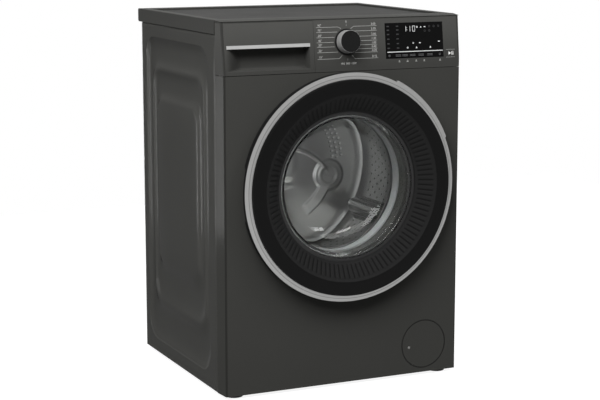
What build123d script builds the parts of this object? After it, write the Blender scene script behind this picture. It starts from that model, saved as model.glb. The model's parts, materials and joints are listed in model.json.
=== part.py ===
# Front load washing machine, full size, as separate pieces. Millimetres, front faces -Y, +Z up.
import os
from math import atan, cos, hypot, radians, sin, tan

from build123d import *

os.makedirs("parts", exist_ok=True)

# Overall size
width = 600.0
height = 850.0
foot_gap = 8.4  # floor to the cabinet's lower edge
body_depth = 515.5  # front panel face to rear panel
top_overhang = 21.5  # worktop past the rear panel
door_proud = 45.0  # door front ahead of the front panel

# Sheet metal cabinet
sheet = 1.2
side_inset = 1.5  # side panels behind the worktop's edge
flange = 9.0  # folded edge of a side panel
strip_depth = 42.0  # side return of the front covers
strip_taper = 3.9  # how far each return leans in at the front
corner_radius = 4.0
pan_flange = 12.0
seam = 1.0  # shadow gap between neighbouring covers
fascia_height = 121.0
seam_z = height - fascia_height  # joint of front panel and control panel
skirt_height = 32.3  # worktop's side skirt

# Pressed steps of the side panels, each measured from the step around it
step_front = (42.0, 24.0, 34.0)
step_rear = (44.5, 39.0, 32.0)
step_low = (35.6, 100.0, 103.0)
step_high = (48.7, 64.0, 70.0)
step_depth = (5.0, 3.5, 2.0)
step_corner = (44.0, 38.0, 32.0)
step_slope = 50.0  # degrees from the pressing direction

# Control panel
lean = 14.5  # how far the fascia leans back at its top
fascia_top_gap = 4.0  # fascia's top edge below the worktop
moulding = 3.0  # wall of plastic covers
bay_depth = 34.0  # drawer front's bay
drawer_span = 225.5
drawer_seam_x = drawer_span - width / 2
display_width = 150.0
display_height = 81.0
display_edge = 121.0
display_x = width / 2 - display_edge
display_drop = 56.5
display_z = height - display_drop
display_depth = 2.0
key_width = 25.0
key_height = 16.0
key_edge = 27.5
key_x = width / 2 - key_edge
key_drop = 89.0
key_z = height - key_drop
key_travel = 1.0
key_gap = 0.35
key_proud = 0.5
knob_x = 6.0
knob_drop = 55.0
knob_z = height - knob_drop
knob_base_radius = 29.5
knob_radius = 25.4
knob_height = 23.0
knob_cap_depth = 1.6
knob_shaft_radius = 3.0
board_depth = 12.0  # circuit board behind the fascia's face
board_thickness = 1.6

# Worktop
rim_width = 22.0
rim_rear = 24.0
rim_drop = 3.5  # rim above the sunken panel
skirt_wall = 3.5
board_height = 14.0
board_tuck = 10.0  # panel under the rim
rear_trim_length = 28.0
lip_front = 13.5  # worktop lip behind the front panel's face
rail_width = 12.0

# Door and drum axis
axis_z = 469.0
opening_radius = 178.0
collar_depth = 14.0
ring_radius = 261.0
ring_slope_width = 6.5
ring_crease_radius = ring_radius - ring_slope_width
ring_width = 15.0
ring_inner_radius = ring_radius - ring_width
ring_back = 24.0  # ring's rear edge ahead of the front panel
ring_crease = 33.0
ring_front = 37.5
ring_wall = 3.2
grip_rise = 4.6  # grip stands out of the ring
grip_start = 22.5  # degrees from the right, upwards
grip_end = 64.5
grip_wall = 2.6
bezel_wall = 2.5
bezel_flat_width = 31.5
bezel_flat_radius = ring_inner_radius - bezel_flat_width  # inner edge of the flat black ring
glass_edge_inset = 6.0
glass_edge_radius = opening_radius - glass_edge_inset
glass_edge_y = 16.0  # glass edge ahead of the front panel
glass_wall = 4.0
glass_tuck = 2.0
glass_flange_radius = opening_radius + glass_tuck
bowl_inset = 20.0
bowl_radius = opening_radius - bowl_inset
bowl_depth = 98.0
bowl_shape = ((1, 0), (0.955, 0.42), (0.82, 0.8), (0.52, 0.97), (0, 1))  # shares of radius and depth
bowl_rim_tangent = (-0.05, 1)
frame_back = 5.0  # door's back ahead of the front panel
frame_wall = 3.0
frame_inset = 13.0
frame_radius = ring_radius - frame_inset
frame_lip_inset = 1.5
frame_lip_radius = ring_radius - frame_lip_inset
frame_hole_gap = 5.5
frame_hole_radius = bowl_radius + frame_hole_gap
post_radius = 5.0
post_inset = 31.0
post_circle = ring_radius - post_inset
post_count = 8

# Door hinge and latch
hinge_inset = 13.0
hinge_x = hinge_inset - ring_radius
hinge_y = 20.0  # hinge pin ahead of the front panel
hinge_pin_radius = 3.0
knuckle_radius = 5.0
knuckle_half = 38.0
ear_gap = 2.0
ear_height = 10.0
hinge_foot_x = -218.0
hinge_foot_width = 14.0
hinge_plate = 3.0
hinge_screw_x = -211.0
hinge_notch_x = -210.0
hinge_notch_gap = 8.0
hinge_arm_foot = 16.0
hinge_plate_edge = 7.0
shaft_clearance = 0.05
run_gap = 0.3
latch_x = 206.0
latch_y = 14.0
latch_pin_radius = 2.0
latch_half = 4.0
latch_swing = 8.0  # room for the hook in the door's back plate
latch_reach = 16.0  # hook behind the front panel's face
latch_shank = 6.0
latch_barb = 6.0
latch_slot_width = 27.0
latch_slot_height = 14.0
lock_depth = 28.0

# Drawer and dispenser
housing_edge = 11.0
housing_x0 = housing_edge - width / 2
housing_side_gap = 4.5
housing_x1 = drawer_seam_x - housing_side_gap
housing_drop = 112.0
housing_z = height - housing_drop
housing_head = 36.0
housing_top = height - housing_head
housing_length = 240.0
dispenser_wall = 2.5  # wall of the dispenser mouldings
tray_side_gap = 1.0
tray_head = 50.0
tray_top = height - tray_head
tray_length = 232.0
cell_width = (73.0, 66.0)
cap_length = 110.0
bar_edge = 14.5
bar_x0 = bar_edge - width / 2
bar_side_gap = 10.5
bar_x1 = drawer_seam_x - bar_side_gap
bar_drop = 62.5
bar_z0 = height - bar_drop
bar_height = 7.5
bar_z1 = bar_z0 + bar_height
bar_proud = 1.0
bar_seat = 2.0
recess_sill = 13.0
recess_z0 = seam_z + recess_sill
recess_depth = 27.0
recess_lip = 4.0

# Tub, drum and drive
drum_radius = 238.0
drum_sheet = 1.2
drum_front_y = -158.0
drum_rear_y = 135.0
drum_mouth_inset = 16.0
drum_mouth_radius = opening_radius - drum_mouth_inset
drum_lip = 8.0
hole_radius = 3.0
hole_rows = 6
hole_columns = 5
lifter_width = 64.0
lifter_height = 52.0
lifter_margin = 22.0
lifter_count = 3
lifter_start = 90.0  # first lifter's angle from the right, upwards
lifter_top = 24.0
back_dome_radius = 64.0
back_rise = 12.0
tub_inner = 257.0
tub_shell = 5.0
tub_front_y = -175.0
tub_split_y = -44.0
tub_rear_y = 165.0
tub_flange_radius = 267.0
tub_flange = 8.0
mouth_inset = 14.0
mouth_radius = opening_radius - mouth_inset
mouth_wall = 4.0
mouth_length = 20.0
weight_inner = 195.0
weight_outer = 250.0
weight_thickness = 32.0
weight_gap = 6.0
shaft_radius = 15.0
shaft_end_radius = 10.0
hub_radius = 46.0
hub_front_y = 158.0
hub_rear_y = 218.0
bearing_radius = 36.0
hub_shoulder_radius = 27.0
bearing_width = 19.0
bearing_front_y = 172.0
rear_bearing_radius = 31.0
rear_bearing_width = 17.0
rear_bearing_y = 199.0
spider_hub_radius = 42.0
spider_width = 36.0
spider_depth = 16.0
pulley_radius = 140.0
pulley_y = 222.0
pulley_width = 16.0
pulley_rim = 10.0
pulley_hub_radius = 22.0
spoke_width = 22.0
spoke_count = 6
belt_thickness = 3.0
belt_width = 11.0
belt_gap = 0.35
motor_radius = 56.0
motor_angle = 25.0  # motor right of straight down
motor_clear = 7.0
motor_y = 70.0
motor_length = 135.0
motor_wall = 10.0
rotor_gap = 1.0
rotor_radius = 39.0
motor_shaft_radius = 8.0
motor_pulley_radius = 12.0
motor_lug_width = 40.0
vent_circle = 26.0
vent_count = 8
vent_radius = 5.0
heater_rod_radius = 3.5
heater_half = 22.0
heater_drop = 246.0
heater_front_y = -120.0
heater_bend = 15.0
heater_plate = 6.0

# Suspension
spring_x = 150.0
spring_y = 60.0
spring_radius = 15.0
spring_wall = 4.0
spring_low_z = 700.0
beam_drop = 50.0
beam_z = height - beam_drop
beam_height = 16.0
beam_width = 30.0
lug_width = 22.0
damper_x = 200.0
damper_y = 40.0
damper_radius = 14.0
damper_rod_radius = 8.0
damper_seat_z = 62.0
damper_top_z = 200.0
damper_eye_z = 258.0
damper_eye_height = 24.0
rod_low_z = 120.0
damper_gap = 0.4

# Pump and its access flap
flap_edge = 91.5
flap_x = width / 2 - flap_edge
flap_z = 77.0
flap_radius = 56.4
flap_gap = 1.0
flap_thickness = 2.0
flap_axis_x = 67.5  # pivot right of the flap's centre
flap_axis_y = 4.0  # pivot behind the front panel's face
flap_pin_radius = 1.5
flap_lug_low = 10.0
flap_lug_high = 16.0
flap_ear_low = 17.0
flap_ear_high = 22.0
flap_ear_half = 5.0
flap_arm_reach = 14.0  # inside of the curved arm, left of the pivot
flap_arm_depth = 14.0  # inside of the curved arm, behind the pivot
flap_arm_wall = 3.0
flap_dot_x = -38.0
flap_dot_z = -6.0
flap_dot_radius = 4.5
flap_dot_draft = 20.0
flap_frame_inner = 60.0
flap_frame_outer = 66.0
flap_frame_depth = 10.0
filter_radius = 34.0
filter_wall = 4.0
filter_front = 25.0  # filter body behind the front panel's face
filter_length = 113.0
cap_flange = 8.0
cap_handle = 8.0
basket_radius = 22.0
pump_motor_radius = 26.0
pump_motor_length = 48.0
sump_x = 30.0
sump_y = 96.0  # sump hose behind the front panel's face
sump_radius = 19.0
sump_bore = 16.0
sump_wall = 3.0
sump_high_z = 184.0
sump_bend = 44.0
sump_overlap = 14.0
sump_gap = 0.1
spigot_length = 24.0
outlet_length = 8.0
basket_wall = 2.0

# Base and feet
tray_floor = 3.0
tray_wall = 3.0
tray_height = 34.0
tongue_inset = 10.0
foot_edge = 38.0
foot_x = width / 2 - foot_edge
foot_front = 34.0  # front feet behind the front panel's face
foot_rear = 454.0
foot_radius = 20.0
foot_pad = 10.0
foot_stem_radius = 5.0
foot_stem_top = 56.0
pocket_radius = 24.0
pocket_wall = 3.0
pocket_top = 22.0
sleeve_radius = 9.0
sleeve_top = 52.0

# Rear fittings
cover_radius = 152.0
cover_hole_radius = 138.0
cover_draft = 45.0
cap_circle_x = 190.0
cap_low_z = 330.0
cap_high_z = 610.0
cap_hole_radius = 14.0
cap_head_radius = 18.0
cap_head = 3.0
valve_edge = 85.0
valve_x = valve_edge - width / 2
valve_drop = 80.0
valve_z = height - valve_drop
valve_body = 44.0
valve_depth = 46.0
thread_radius = 13.2
thread_bore = 7.0
thread_length = 16.0
fill_radius = 9.0
fill_bore = 6.5
drain_edge = 85.0
drain_x = width / 2 - drain_edge
drain_drop = 150.0
drain_z = height - drain_drop
drain_radius = 10.0
drain_bore = 8.0
drain_length = 18.0
drain_wall = 2.0
drain_barb = 0.6
drain_run_edge = 26.0
drain_run_x = width / 2 - drain_run_edge
drain_run_y = 240.0
drain_bend = 22.0
gland_edge = 65.0
gland_x = width / 2 - gland_edge
gland_drop = 80.0
gland_z = height - gland_drop
gland_radius = 9.0
gland_flange_radius = 14.0
gland_bore = 4.2
gland_length = 12.0
screw_radius = 2.4
screw_head_radius = 4.6
screw_head = 2.4
screw_length = 8.0
hinge_screw_head = 1.0

# Places worked out from the sizes
overall_depth = door_proud + body_depth + top_overhang
front_y = door_proud - overall_depth / 2
rear_y = front_y + body_depth
top_rear_y = rear_y + top_overhang
panel_x = width / 2 - side_inset
inner_x = panel_x - sheet
face_x = panel_x - strip_taper
strip_y = front_y + strip_depth
skirt_z = height - skirt_height
fascia_top = height - fascia_top_gap
lean_angle = atan(lean / (fascia_top - seam_z))
fascia_low = seam_z + seam
tray_z = foot_gap + sheet
floor_z = tray_z + tray_floor
axle_plane = Plane.XY.offset(axis_z)
axle = Axis((0, 0, axis_z), (0, 1, 0))
face_plane = Plane(
    origin=(0, front_y, seam_z),
    x_dir=(1, 0, 0),
    z_dir=(0, -cos(lean_angle), sin(lean_angle)),
)
tub_outer = tub_inner + tub_shell
motor_reach = tub_outer + motor_clear + motor_radius
motor_x = motor_reach * sin(radians(motor_angle))
motor_z = axis_z - motor_reach * cos(radians(motor_angle))
hinge_screw_places = [(hinge_screw_x, axis_z + rise) for rise in (-knuckle_half, knuckle_half)]
foot_places = {
    "front_left": (-foot_x, front_y + foot_front),
    "front_right": (foot_x, front_y + foot_front),
    "rear_left": (-foot_x, front_y + foot_rear),
    "rear_right": (foot_x, front_y + foot_rear),
}


def facing(y):
    # Plane at depth y, seen from the front: its x is X and its y is Z.
    return Plane.XZ.offset(-y)


def face_y(z):
    # Depth of the leaning fascia's face at height z.
    return front_y + (z - seam_z) * tan(lean_angle)


def up_face(z):
    # Distance up the fascia's face to height z.
    return (z - seam_z) / cos(lean_angle)


def pan_corners(inset, y_front, y_rear):
    # Plan outline of the front covers: wider at the rear than at the face.
    def half(y):
        return face_x + strip_taper * min(1, (y - front_y) / strip_depth) - inset

    return [
        (-half(y_front), y_front),
        (half(y_front), y_front),
        (half(y_rear), y_rear),
        (-half(y_rear), y_rear),
    ]


# Front panel: a shallow steel pan with the door opening and its folded collar
with BuildPart() as front_panel:
    with BuildSketch(Plane.XY.offset(foot_gap)) as pan:
        Polygon(*pan_corners(0, front_y, strip_y), align=None)
        fillet(pan.vertices().group_by(Axis.Y)[0], corner_radius)
    extrude(amount=seam_z - foot_gap)
    with BuildSketch(Plane.XY.offset(foot_gap + sheet)) as hollow:
        Polygon(*pan_corners(sheet, front_y + sheet, strip_y + seam), align=None)
        fillet(hollow.vertices().group_by(Axis.Y)[0], corner_radius - sheet)
    extrude(amount=seam_z - foot_gap - 2 * sheet, mode=Mode.SUBTRACT)
    with BuildSketch(Plane.XY.offset(foot_gap - seam)):
        Polygon(*pan_corners(sheet, front_y + pan_flange, strip_y + seam), align=None)
    extrude(amount=seam_z - foot_gap + 2 * seam, mode=Mode.SUBTRACT)
    with BuildSketch(facing(front_y)):
        with Locations((0, axis_z)):
            Circle(opening_radius + sheet)
    extrude(amount=-collar_depth)
    with BuildSketch(facing(front_y - seam)):
        with Locations((0, axis_z)):
            Circle(opening_radius)
        with Locations((flap_x, flap_z)):
            Circle(flap_radius + flap_gap)
        with Locations((latch_x + latch_barb / 2, axis_z)):
            Rectangle(latch_slot_width, latch_slot_height)
        with Locations(*hinge_screw_places):
            Circle(screw_radius)
    extrude(amount=-(collar_depth + 2 * seam), mode=Mode.SUBTRACT)
front_panel.part.label = "front_panel"
export_step(front_panel.part, "parts/front_panel.step")


# Side panels: steel sheet with folded edges and three nested pressed steps
def side_panel(side):
    y0 = strip_y
    y1 = rear_y - sheet
    z0 = foot_gap
    z1 = skirt_z
    depth = 0.0
    with BuildPart() as panel:
        with BuildSketch(Plane.XZ.offset(-y0)):
            with Locations((side * (panel_x - sheet / 2), (z0 + z1) / 2)):
                Rectangle(sheet, z1 - z0)
        extrude(amount=-(y1 - y0))
        fold_x = side * (panel_x - flange / 2)
        fold_low = tray_z + tray_height
        with BuildSketch(Plane.XY.offset(fold_low)):
            with Locations((fold_x, y0 + sheet / 2), (fold_x, y1 - sheet / 2)):
                Rectangle(flange, sheet)
        extrude(amount=z1 - fold_low)
        with BuildSketch(Plane.XY.offset(z0)):
            with Locations((fold_x, (y0 + y1) / 2)):
                Rectangle(flange, y1 - y0)
        extrude(amount=sheet)
        with BuildSketch(Plane.XY.offset(z1 - sheet)):
            with Locations((fold_x, (y0 + y1) / 2)):
                Rectangle(flange, y1 - y0)
        extrude(amount=sheet)
        y1 = rear_y
        for front, rear, low, high, drop, corner in zip(
            step_front, step_rear, step_low, step_high, step_depth, step_corner
        ):
            y0, y1, z0, z1 = y0 + front, y1 - rear, z0 + low, z1 - high
            step = Plane(
                origin=(side * (panel_x - depth), (y0 + y1) / 2, (z0 + z1) / 2),
                x_dir=(0, 1, 0),
                z_dir=(-side, 0, 0),
            )
            with BuildSketch(step):
                RectangleRounded(y1 - y0, z1 - z0, corner)
            extrude(amount=drop + sheet, taper=step_slope)
            with BuildSketch(step):
                RectangleRounded(y1 - y0 - 2 * sheet, z1 - z0 - 2 * sheet, corner - sheet)
            extrude(amount=drop, taper=step_slope, mode=Mode.SUBTRACT)
            depth += drop
    return panel.part


side_panel_left = side_panel(-1)
side_panel_left.label = "side_panel_left"
export_step(side_panel_left, "parts/side_panel_left.step")
side_panel_right = side_panel(1)
side_panel_right.label = "side_panel_right"
export_step(side_panel_right, "parts/side_panel_right.step")

# Rear panel with its service hole and the holes of the rear fittings
cap_places = [(x, z) for x in (-cap_circle_x, cap_circle_x) for z in (cap_low_z, cap_high_z)]
cover_screw_radius = (cover_radius + cover_hole_radius) / 2
with BuildPart() as rear_panel:
    with BuildSketch(facing(rear_y)):
        with Locations((0, (foot_gap + skirt_z) / 2)):
            Rectangle(2 * panel_x, skirt_z - foot_gap)
        with Locations((0, axis_z)):
            Circle(cover_hole_radius, mode=Mode.SUBTRACT)
            with PolarLocations(cover_screw_radius, 6):
                Circle(screw_radius, mode=Mode.SUBTRACT)
        with Locations(*cap_places):
            Circle(cap_hole_radius, mode=Mode.SUBTRACT)
        with Locations((valve_x, valve_z)):
            Circle(thread_radius + run_gap, mode=Mode.SUBTRACT)
        with Locations((drain_x, drain_z)):
            Circle(drain_radius + run_gap, mode=Mode.SUBTRACT)
        with Locations((gland_x, gland_z)):
            Circle(gland_radius, mode=Mode.SUBTRACT)
    extrude(amount=sheet)
rear_panel.part.label = "rear_panel"
export_step(rear_panel.part, "parts/rear_panel.step")

# Round service cover over the pulley
with BuildPart() as rear_cover:
    with BuildSketch(facing(rear_y)):
        with Locations((0, axis_z)):
            Circle(cover_radius)
            with PolarLocations(cover_screw_radius, 6):
                Circle(screw_radius, mode=Mode.SUBTRACT)
    extrude(amount=-sheet)
    with BuildSketch(facing(rear_y + sheet)):
        with Locations((0, axis_z)):
            Circle(cover_hole_radius - 2 * cap_head)
    extrude(amount=-cap_head, taper=cover_draft)
    with BuildSketch(facing(rear_y)):
        with Locations((0, axis_z)):
            Circle(cover_hole_radius - 2 * cap_head - sheet)
    extrude(amount=-cap_head, taper=cover_draft, mode=Mode.SUBTRACT)
rear_cover.part.label = "rear_cover"
export_step(rear_cover.part, "parts/rear_cover.step")

# Screws of the service cover and of the door hinge
with BuildPart() as cabinet_screws:
    with BuildSketch(facing(rear_y + sheet)):
        with Locations((0, axis_z)):
            with PolarLocations(cover_screw_radius, 6):
                Circle(screw_head_radius)
    extrude(amount=-screw_head)
    with BuildSketch(facing(rear_y + sheet)):
        with Locations((0, axis_z)):
            with PolarLocations(cover_screw_radius, 6):
                Circle(screw_radius)
    extrude(amount=screw_length)
    with BuildSketch(facing(front_y - hinge_plate)):
        with Locations(*hinge_screw_places):
            Circle(screw_head_radius)
    extrude(amount=hinge_screw_head)
    with BuildSketch(facing(front_y - hinge_plate)):
        with Locations(*hinge_screw_places):
            Circle(screw_radius)
    extrude(amount=-(hinge_plate + screw_length))
cabinet_screws.part.label = "cabinet_screws"
export_step(cabinet_screws.part, "parts/cabinet_screws.step")

# Plugs in the four transit bolt holes
with BuildPart() as transit_caps:
    with BuildSketch(facing(rear_y)):
        with Locations(*cap_places):
            Circle(cap_head_radius)
    extrude(amount=-cap_head)
    fillet(transit_caps.faces().sort_by(Axis.Y)[-4:].edges(), cap_head / 3)
    with BuildSketch(facing(rear_y)):
        with Locations(*cap_places):
            Circle(cap_hole_radius)
    extrude(amount=sheet + cap_head)
transit_caps.part.label = "transit_caps"
export_step(transit_caps.part, "parts/transit_caps.step")

# Water inlet valve with its hose thread
with BuildPart() as inlet_valve:
    with BuildSketch(facing(rear_y - sheet)):
        with Locations((valve_x, valve_z)):
            RectangleRounded(valve_body, valve_body, tray_wall)
    extrude(amount=valve_depth)
    with BuildSketch(facing(rear_y - sheet)):
        with Locations((valve_x, valve_z)):
            Circle(thread_radius - seam)
    extrude(amount=-(sheet + thread_length))
    with BuildSketch(facing(rear_y + seam)):
        with Locations((valve_x, valve_z)):
            Circle(thread_radius)
    extrude(amount=-(thread_length - seam))
    with BuildSketch(facing(rear_y + thread_length)):
        with Locations((valve_x, valve_z)):
            Circle(thread_bore)
    extrude(amount=thread_length + valve_depth / 2, mode=Mode.SUBTRACT)
inlet_valve.part.label = "inlet_valve"
export_step(inlet_valve.part, "parts/inlet_valve.step")

# Cord gland in the rear panel
with BuildPart() as cord_gland:
    with BuildSketch(facing(rear_y)):
        with Locations((gland_x, gland_z)):
            Circle(gland_flange_radius)
    extrude(amount=-cap_head)
    with BuildSketch(facing(rear_y + cap_head)):
        with Locations((gland_x, gland_z)):
            Circle(gland_radius)
    extrude(amount=-(gland_length - cap_head), taper=8)
    with BuildSketch(facing(rear_y)):
        with Locations((gland_x, gland_z)):
            Circle(gland_radius)
    extrude(amount=sheet + cap_head)
    with BuildSketch(facing(rear_y + gland_length)):
        with Locations((gland_x, gland_z)):
            Circle(gland_bore)
    extrude(amount=gland_length + sheet + cap_head, mode=Mode.SUBTRACT)
cord_gland.part.label = "cord_gland"
export_step(cord_gland.part, "parts/cord_gland.step")

# Base tray with a pocket and a threaded sleeve for each foot
tongue_x = face_x - tongue_inset
with BuildPart() as base_tray:
    with BuildSketch(Plane.XY.offset(tray_z)):
        with Locations((0, (strip_y + rear_y - sheet) / 2)):
            Rectangle(2 * inner_x, rear_y - sheet - strip_y)
        with Locations((0, (front_y + sheet + strip_y) / 2)):
            Rectangle(2 * tongue_x, strip_y - front_y - sheet)
    extrude(amount=tray_floor)
    with BuildSketch(Plane.XY.offset(tray_z)):
        with Locations((0, (strip_y + rear_y - sheet) / 2)):
            Rectangle(2 * inner_x, rear_y - sheet - strip_y)
        with Locations((0, (strip_y + rear_y - sheet - tray_wall) / 2 - seam)):
            Rectangle(
                2 * (inner_x - tray_wall),
                rear_y - sheet - strip_y - tray_wall + 2 * seam,
                mode=Mode.SUBTRACT,
            )
    extrude(amount=tray_height)
    with BuildSketch(Plane.XY.offset(tray_z)):
        with Locations(*foot_places.values()):
            Circle(pocket_radius + pocket_wall)
    extrude(amount=pocket_top + pocket_wall - tray_z)
    with BuildSketch(Plane.XY.offset(pocket_top)):
        with Locations(*foot_places.values()):
            Circle(sleeve_radius)
    extrude(amount=sleeve_top - pocket_top)
    with BuildSketch(Plane.XY.offset(tray_z)):
        with Locations(*foot_places.values()):
            Circle(pocket_radius)
    extrude(amount=pocket_top - tray_z, mode=Mode.SUBTRACT)
    with BuildSketch(Plane.XY.offset(tray_z)):
        with Locations(*foot_places.values()):
            Circle(foot_stem_radius + shaft_clearance)
    extrude(amount=sleeve_top, mode=Mode.SUBTRACT)
base_tray.part.label = "base_tray"
export_step(base_tray.part, "parts/base_tray.step")


# Levelling feet: a pad on a threaded stem
def levelling_foot(place):
    with BuildPart() as foot:
        with BuildSketch(Plane.XY):
            with Locations(place):
                Circle(foot_radius)
        extrude(amount=foot_pad)
        chamfer(foot.edges().group_by(Axis.Z)[-1], foot_pad / 3)
        with BuildSketch(Plane.XY.offset(foot_pad)):
            with Locations(place):
                Circle(foot_stem_radius)
        extrude(amount=foot_stem_top - foot_pad)
    return foot.part


for corner_name, place in foot_places.items():
    levelling = levelling_foot(place)
    levelling.label = f"foot_{corner_name}"
    export_step(levelling, f"parts/foot_{corner_name}.step")

# Control panel: a plastic fascia with the drawer's bay at its left end
bay_x0 = -(face_x - moulding)
bay_top = fascia_top - moulding / 2
bay_y = front_y + bay_depth
inner_half = face_x - moulding
key_up = up_face(key_z)
display_up = up_face(display_z)
knob_up = up_face(knob_z)
post_x0 = drawer_seam_x + 4 * moulding
post_x1 = inner_half - 3 * moulding
post_up = (up_face(fascia_low) + 4 * moulding, up_face(fascia_top) - 4 * moulding)
board_posts = [(x, up) for x in (post_x0, post_x1) for up in post_up]
with BuildPart() as control_panel:
    with BuildSketch(Plane.YZ):
        Polygon(
            (face_y(fascia_low), fascia_low),
            (face_y(fascia_top), fascia_top),
            (strip_y, fascia_top),
            (strip_y, fascia_low),
            align=None,
        )
    extrude(amount=width, both=True)
    with BuildSketch(Plane.XY.offset(fascia_low)) as plan:
        Polygon(*pan_corners(0, front_y, strip_y), align=None)
        fillet(plan.vertices().group_by(Axis.Y)[0], corner_radius)
    extrude(amount=fascia_top - fascia_low, mode=Mode.INTERSECT)
    with BuildSketch(Plane.YZ):
        Polygon(
            (face_y(fascia_low + moulding) + moulding, fascia_low + moulding),
            (face_y(fascia_top - moulding) + moulding, fascia_top - moulding),
            (strip_y + seam, fascia_top - moulding),
            (strip_y + seam, fascia_low + moulding),
            align=None,
        )
    extrude(amount=inner_half, both=True, mode=Mode.SUBTRACT)
    # Drawer bay: open front, a wall beside it and a back frame with the tray's opening
    with BuildSketch(Plane.XZ.offset(-(front_y - seam))):
        with Locations(((bay_x0 + drawer_seam_x) / 2, (fascia_low - seam + bay_top) / 2)):
            Rectangle(drawer_seam_x - bay_x0, bay_top - fascia_low + seam)
    extrude(amount=-(bay_depth + seam), mode=Mode.SUBTRACT)
    with BuildSketch(facing(bay_y)):
        with Locations(((bay_x0 + drawer_seam_x) / 2, (fascia_low + bay_top) / 2)):
            Rectangle(drawer_seam_x - bay_x0, bay_top - fascia_low)
        with Locations(((housing_x0 + housing_x1) / 2, (housing_z + housing_top) / 2)):
            Rectangle(
                housing_x1 - housing_x0 - 2 * dispenser_wall,
                housing_top - housing_z - 2 * dispenser_wall,
                mode=Mode.SUBTRACT,
            )
    extrude(amount=-moulding)
    with BuildSketch(Plane.YZ.offset(drawer_seam_x)):
        Polygon(
            (face_y(fascia_low), fascia_low),
            (face_y(fascia_top), fascia_top),
            (strip_y, fascia_top),
            (strip_y, fascia_low),
            align=None,
        )
    extrude(amount=moulding)
    # Posts of the circuit board, the display's seat, the key's hole and the knob's hole
    with BuildSketch(face_plane.offset(-moulding / 2)):
        with Locations(*board_posts):
            Circle(moulding)
    extrude(amount=-(board_depth - moulding / 2))
    with BuildSketch(face_plane):
        with Locations((display_x, display_up)):
            Rectangle(display_width, display_height)
    extrude(amount=-display_depth, mode=Mode.SUBTRACT)
    with BuildSketch(face_plane):
        with Locations((key_x, key_up)):
            Rectangle(key_width + 2 * key_gap, key_height + 2 * key_gap)
        with Locations((knob_x, knob_up)):
            Circle(knob_shaft_radius + run_gap)
    extrude(amount=-2 * moulding, mode=Mode.SUBTRACT)
control_panel.part.label = "control_panel"
export_step(control_panel.part, "parts/control_panel.step")

# Display glass, flush in the fascia
with BuildPart() as display_window:
    with BuildSketch(face_plane):
        with Locations((display_x, display_up)):
            Rectangle(display_width, display_height)
    extrude(amount=-display_depth)
display_window.part.label = "display_window"
export_step(display_window.part, "parts/display_window.step")

# Circuit board with the encoder behind the knob, the key's switch and the display module
encoder_size = 16.0
encoder_top = 7.0  # encoder's face behind the fascia's face
switch_size = 6.0
key_flange = 1.5
key_stem_end = board_depth - 3 * key_travel
module_margin = 12.0
board_plane = face_plane.offset(-board_depth)
with BuildPart() as control_board:
    with BuildSketch(board_plane):
        with Locations(((post_x0 + post_x1) / 2, sum(post_up) / 2)):
            Rectangle(post_x1 - post_x0 + 2 * moulding, post_up[1] - post_up[0] + 2 * moulding)
    extrude(amount=-board_thickness)
    with BuildSketch(board_plane):
        with Locations((knob_x, knob_up)):
            Rectangle(encoder_size, encoder_size)
    extrude(amount=board_depth - encoder_top)
    with BuildSketch(board_plane):
        with Locations((key_x, key_up)):
            Rectangle(switch_size, switch_size)
    extrude(amount=board_depth - key_stem_end - key_travel - run_gap)
    with BuildSketch(board_plane):
        with Locations((display_x, display_up)):
            Rectangle(display_width - 2 * module_margin, display_height - 2 * module_margin)
    extrude(amount=board_depth - 2 * moulding)
    with BuildSketch(face_plane.offset(-encoder_top)):
        with Locations((knob_x, knob_up)):
            Circle(knob_shaft_radius + shaft_clearance)
    extrude(amount=-encoder_size, mode=Mode.SUBTRACT)
control_board.part.label = "control_board"
export_step(control_board.part, "parts/control_board.step")

# Programme knob: a cup on a shaft, and the cap let into its top
knob_axis = Axis(
    (knob_x, face_y(knob_z), knob_z), (0, -cos(lean_angle), sin(lean_angle))
)
knob_plane = Plane(
    origin=(knob_x, face_y(knob_z), knob_z),
    x_dir=(1, 0, 0),
    z_dir=(0, -sin(lean_angle), -cos(lean_angle)),
)
knob_skirt = 2.2
knob_edge = 1.2
cap_radius = knob_radius - knob_edge
pointer_width = 2.0
pointer_length = 12.0
pointer_out = 15.0  # pointer's middle from the knob's axis
with BuildPart() as programme_knob:
    with BuildSketch(knob_plane):
        Polygon(
            (0, -(board_depth - board_thickness)),
            (knob_shaft_radius, -(board_depth - board_thickness)),
            (knob_shaft_radius, run_gap),
            (knob_base_radius, run_gap),
            (knob_base_radius, run_gap + knob_skirt / 2),
            (knob_base_radius - knob_skirt, run_gap + knob_skirt),
            (knob_radius + knob_edge / 2, run_gap + knob_skirt),
            (knob_radius, knob_height - knob_edge),
            (cap_radius, knob_height - knob_edge / 2),
            (cap_radius, knob_height - knob_cap_depth),
            (0, knob_height - knob_cap_depth),
            align=None,
        )
    revolve(axis=knob_axis)
programme_knob.part.label = "programme_knob"
export_step(programme_knob.part, "parts/programme_knob.step")
with BuildPart() as knob_cap:
    with BuildSketch(knob_plane):
        Polygon(
            (0, knob_height - knob_cap_depth),
            (cap_radius, knob_height - knob_cap_depth),
            (cap_radius, knob_height - knob_edge / 2),
            (cap_radius - knob_edge, knob_height),
            (0, knob_height),
            align=None,
        )
    revolve(axis=knob_axis)
    with BuildSketch(face_plane.offset(knob_height)):
        with Locations((knob_x, knob_up + pointer_out)):
            SlotOverall(pointer_length, pointer_width, rotation=90)
    extrude(amount=-knob_edge / 2, mode=Mode.SUBTRACT)
knob_cap.part.label = "knob_cap"
export_step(knob_cap.part, "parts/knob_cap.step")

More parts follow.
